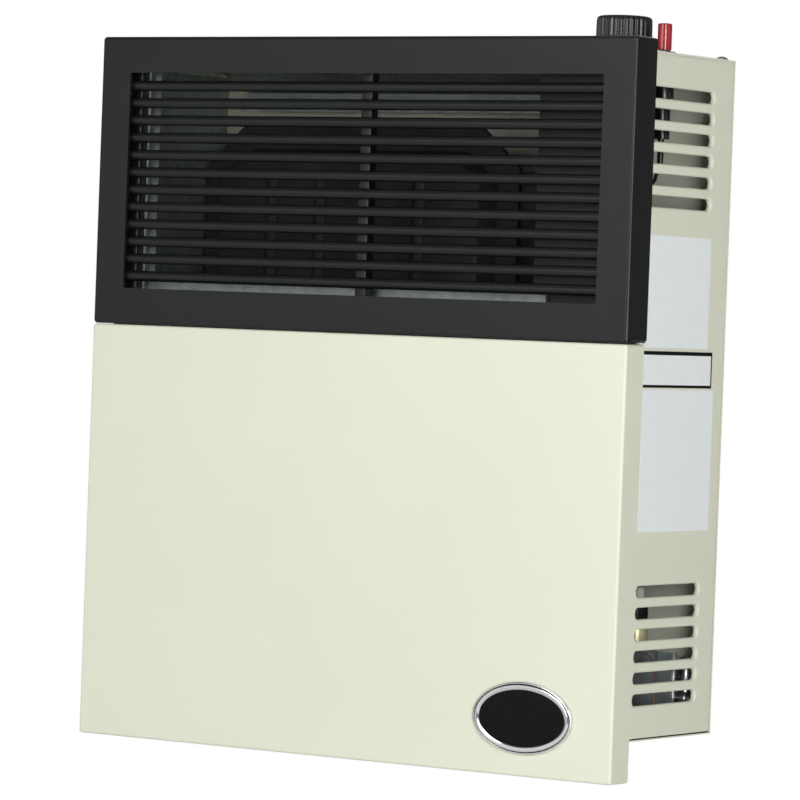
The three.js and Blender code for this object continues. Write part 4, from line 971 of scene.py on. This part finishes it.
def badge():
    back = FACE_Y - 0.3
    front = BADGE_FRONT
    bezel = [
        (0.0, back), (0.0, front + 1.3), (0.25, front + 0.75), (0.7, front + 0.4), (1.3, front + 0.35),
        (1.6, front + 0.9), (2.0, front + 0.9), (2.2, front + 0.3), (2.7, front), (3.6, front),
        (4.9, front + 0.25), (5.6, front + 0.6), (5.8, front + 1.2),
    ]
    shape = Shape()
    shape.skin([oval(inset, y) for inset, y in bezel], caps=False)
    shape.made("badge_rim", look("chrome"), "front_cover", "chrome", replaced=("badge_bezel",), angle=40)
    # The groove's floor is a thin black ring: painted shade in the groove.
    groove = Shape()
    groove.skin([oval(inset, front + 0.85) for inset in (1.55, 2.05)], caps=False)
    groove.made("badge_groove", BADGE_BLACK.data, "front_cover", "black_plastic")
    face = Shape()
    rows = [(5.82, front + 1.1), (5.9, front + 0.8), (6.8, front + 0.7), (FACE_FLAT, front + FACE_DEPTH)]
    face.skin([oval(inset, y) for inset, y in rows], caps=False)
    face.add(oval(FACE_FLAT, front + FACE_DEPTH), [tuple(range(BADGE_STEPS))])
    black = BADGE_BLACK.data
    face.made("badge_oval", black, "front_cover", "black_plastic", replaced=("badge_face",), angle=60)


# ---------- Labels ----------

LABEL_PROUD = 0.3
INK = 0.02
REAR_STRIP = 1.6


def label_frame():
    """Printed border of the middle label: thin strips that run on under the cover's side."""
    x = CABINET_HALF + LABEL_PROUD
    low, high = 279.9, 305.9
    front, rear = -117.5, -18.3
    wide, slim = 2.7, 2.0
    strips = (
        ((front, rear), (high - wide, high)),
        ((front, rear), (low, low + slim)),
        ((rear - REAR_STRIP, rear), (low, high)),
    )
    shape = Shape()
    for ys, zs in strips:
        shape.box((x, x + INK), ys, zs)
    shape.made("label_edge", LABEL_BORDER.data, "cabinet", "label_film")


# ---------- Fittings seen through the lower slots ----------

NUT_X = 200.0
NUT_Y = -57.0
VALVE_SIDE = 208.0
NUT_PROFILE = (
    (93.4, 5.5), (93.4, 7.0), (94.6, 8.1), (97.0, 8.4), (104.0, 8.4), (106.6, 7.8), (108.4, 6.2),
    (108.4, 4.6),
)
POST_PROFILE = ((125.1, 3.6), (125.3, 3.8), (134.0, 3.8), (135.4, 3.2), (136.0, 2.0), (136.1, 0.6))
TERMINALS = ((-53.5, 79.0), (-58.5, 79.6))
WIDE_HEM = ((32.0, 1.2), (32.3, 1.4), (87.4, 1.4), (87.9, 1.0))
SLIM_HEM = ((32.0, 0.8), (32.3, 1.0), (76.0, 1.0), (76.4, 0.7))
PORT_PROFILE = (
    (30.6, 3.0), (30.6, 4.3), (62.0, 4.3), (62.4, 5.0), (70.0, 5.0), (70.4, 4.3), (84.0, 4.3), (84.8, 3.4),
    (85.0, 1.0),
)
PORT_CENTRE = (219.5, -15.8)
CAP_PROFILE = ((213.0, 4.6), (224.4, 4.6), (225.0, 4.1), (225.0, 2.5), (224.4, 2.2), (216.0, 2.2))
CAP_CENTRE = (-21.4, 54.8)


def valve_nut():
    nut = Shape().skin(turned(NUT_PROFILE, (NUT_X + 1.0, NUT_Y)))
    nut.made("valve_nut_round", look("brass"), "cabinet", "brass", replaced=("thermocouple_nut",), angle=50)


def switch_post():
    post = Shape().skin(turned(POST_PROFILE, (NUT_X + 3.6, NUT_Y - 2.4)))
    post.made("switch_post", look("ceramic"), "cabinet", "ceramic", angle=50)


def terminal_covers():
    terminals = Shape()
    for y, z in TERMINALS:
        terminals.skin([
            [(x, y + py * scale, z + pz * scale) for py, pz in rounded_square(1.7, 2.6, 0.8)]
            for x, scale in ((VALVE_SIDE - 2.0, 1.0), (VALVE_SIDE + 4.4, 1.0), (VALVE_SIDE + 5.0, 0.75))
        ])
    terminals.made("terminal_covers", look("red_plastic"), "cabinet", "red_plastic", angle=50)


def bracket_hems():
    hem = Shape()
    hem.skin(turned(WIDE_HEM, (218.0, -30.2), 20))
    hem.skin(turned(SLIM_HEM, (212.6, -47.2), 16))
    hem.made("bracket_hems", look("steel"), "cabinet", "steel", angle=50)


def inlet_port():
    """An upright port with a short open cap that points to the side."""
    port = Shape().skin(turned(PORT_PROFILE, PORT_CENTRE))
    cap = [ring_x(r, x, CAP_CENTRE, 32) for x, r in CAP_PROFILE]
    port.skin(cap, caps=False)
    port.add(cap[-1], [tuple(range(32))])
    port.made("inlet_port", look("steel"), "cabinet", "steel", angle=50)


# ---------- Painted shade behind the grille -------

PARTITION_X = 142.0
SHIELD_FRONT = -117.4
SHIELD_LOW = 322.0
SHIELD_HIGH = 502.0
EDGE_THICK = 0.2
EDGE_REACH = (1.6, 0.6)


def partition_shade_strip():
    """A thin black strip over the partition's front edge: painted shade, so that the lit edge reads dark."""
    shape = Shape()
    xs = (PARTITION_X - EDGE_REACH[0], PARTITION_X + EDGE_REACH[1])
    shape.box(xs, (SHIELD_FRONT, SHIELD_FRONT + EDGE_THICK), (SHIELD_LOW, SHIELD_HIGH))
    shape.made("partition_shade_strip", look("black_paint"), "cabinet", "black_paint")


# ---------- Return spring under the knob ----------

SPRING_RADIUS = 7.4
SPRING_WIRE = 0.8
SPRING_TURNS = 5
SPRING_FOOT = 99.3
SPRING_TOP = 124.0
COIL_STEPS = 36
WIRE_SIDES = 10


def return_spring():
    """A coil on the valve under the knob; the real spring shortens by the knob's travel when the knob is
    pushed.
    """
    count = SPRING_TURNS * COIL_STEPS
    low = SPRING_FOOT + SPRING_WIRE
    rise = SPRING_TOP - SPRING_WIRE - low
    rings = []
    for i in range(count + 1):
        turn = 2 * math.pi * i / COIL_STEPS
        ring = []
        for k in range(WIRE_SIDES):
            around = 2 * math.pi * k / WIRE_SIDES
            r = SPRING_RADIUS + SPRING_WIRE * math.cos(around)
            z = low + rise * i / count + SPRING_WIRE * math.sin(around)
            ring.append((KNOB_X + r * math.cos(turn), CONTROL_Y + r * math.sin(turn), z))
        rings.append(ring)
    shape = Shape().skin(rings)
    made = shape.made("spring_round", look("steel"), "cabinet", "steel", replaced=("knob_spring",), angle=60)
    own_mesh(made)


# ---------- Vent pipes ----------


def pipe(name, slot, node, radius, wall, flange, foot, reach):
    """A rolled sheet pipe with a flange at its foot and a hemmed end."""
    profile = [
        (radius - wall, foot), (radius + flange, foot), (radius + flange, foot + wall),
        (radius + 1.0, foot + wall), (radius, foot + wall + 1.0), (radius, reach - 0.3),
        (radius - 0.3, reach), (radius - wall + 0.3, reach), (radius - wall, reach - 0.3),
        (radius - wall, foot),
    ]
    shape = Shape()
    rings = [ring_y(r, y, (VENT_X, VENT_Z), 96) for r, y in profile]
    shape.skin(rings, caps=False)
    shape.made(name, look(slot), "cabinet", slot, replaced=(node,), angle=40)


# ---------- Assembly ----------

bpy.context.scene.view_settings.view_transform = "Standard"

dress_cad_nodes()
side_panel(1, "side_right_rolled")
side_panel(-1, "side_left_rolled")
rod_grille()
knob()
button()
badge()
label_frame()
cream_front()
valve_nut()
switch_post()
terminal_covers()
bracket_hems()
inlet_port()
partition_shade_strip()
return_spring()
pipe("flue_round", "steel", "flue_pipe", 38.0, 0.9, 9.0, -23.6, 40.0)
pipe("collar_round", "galvanised", "air_collar", 63.5, 0.9, 9.0, -2.2, 28.0)
make_camera()
make_world()
make_floor()
for lamp in LAMPS:
    softbox(*lamp)
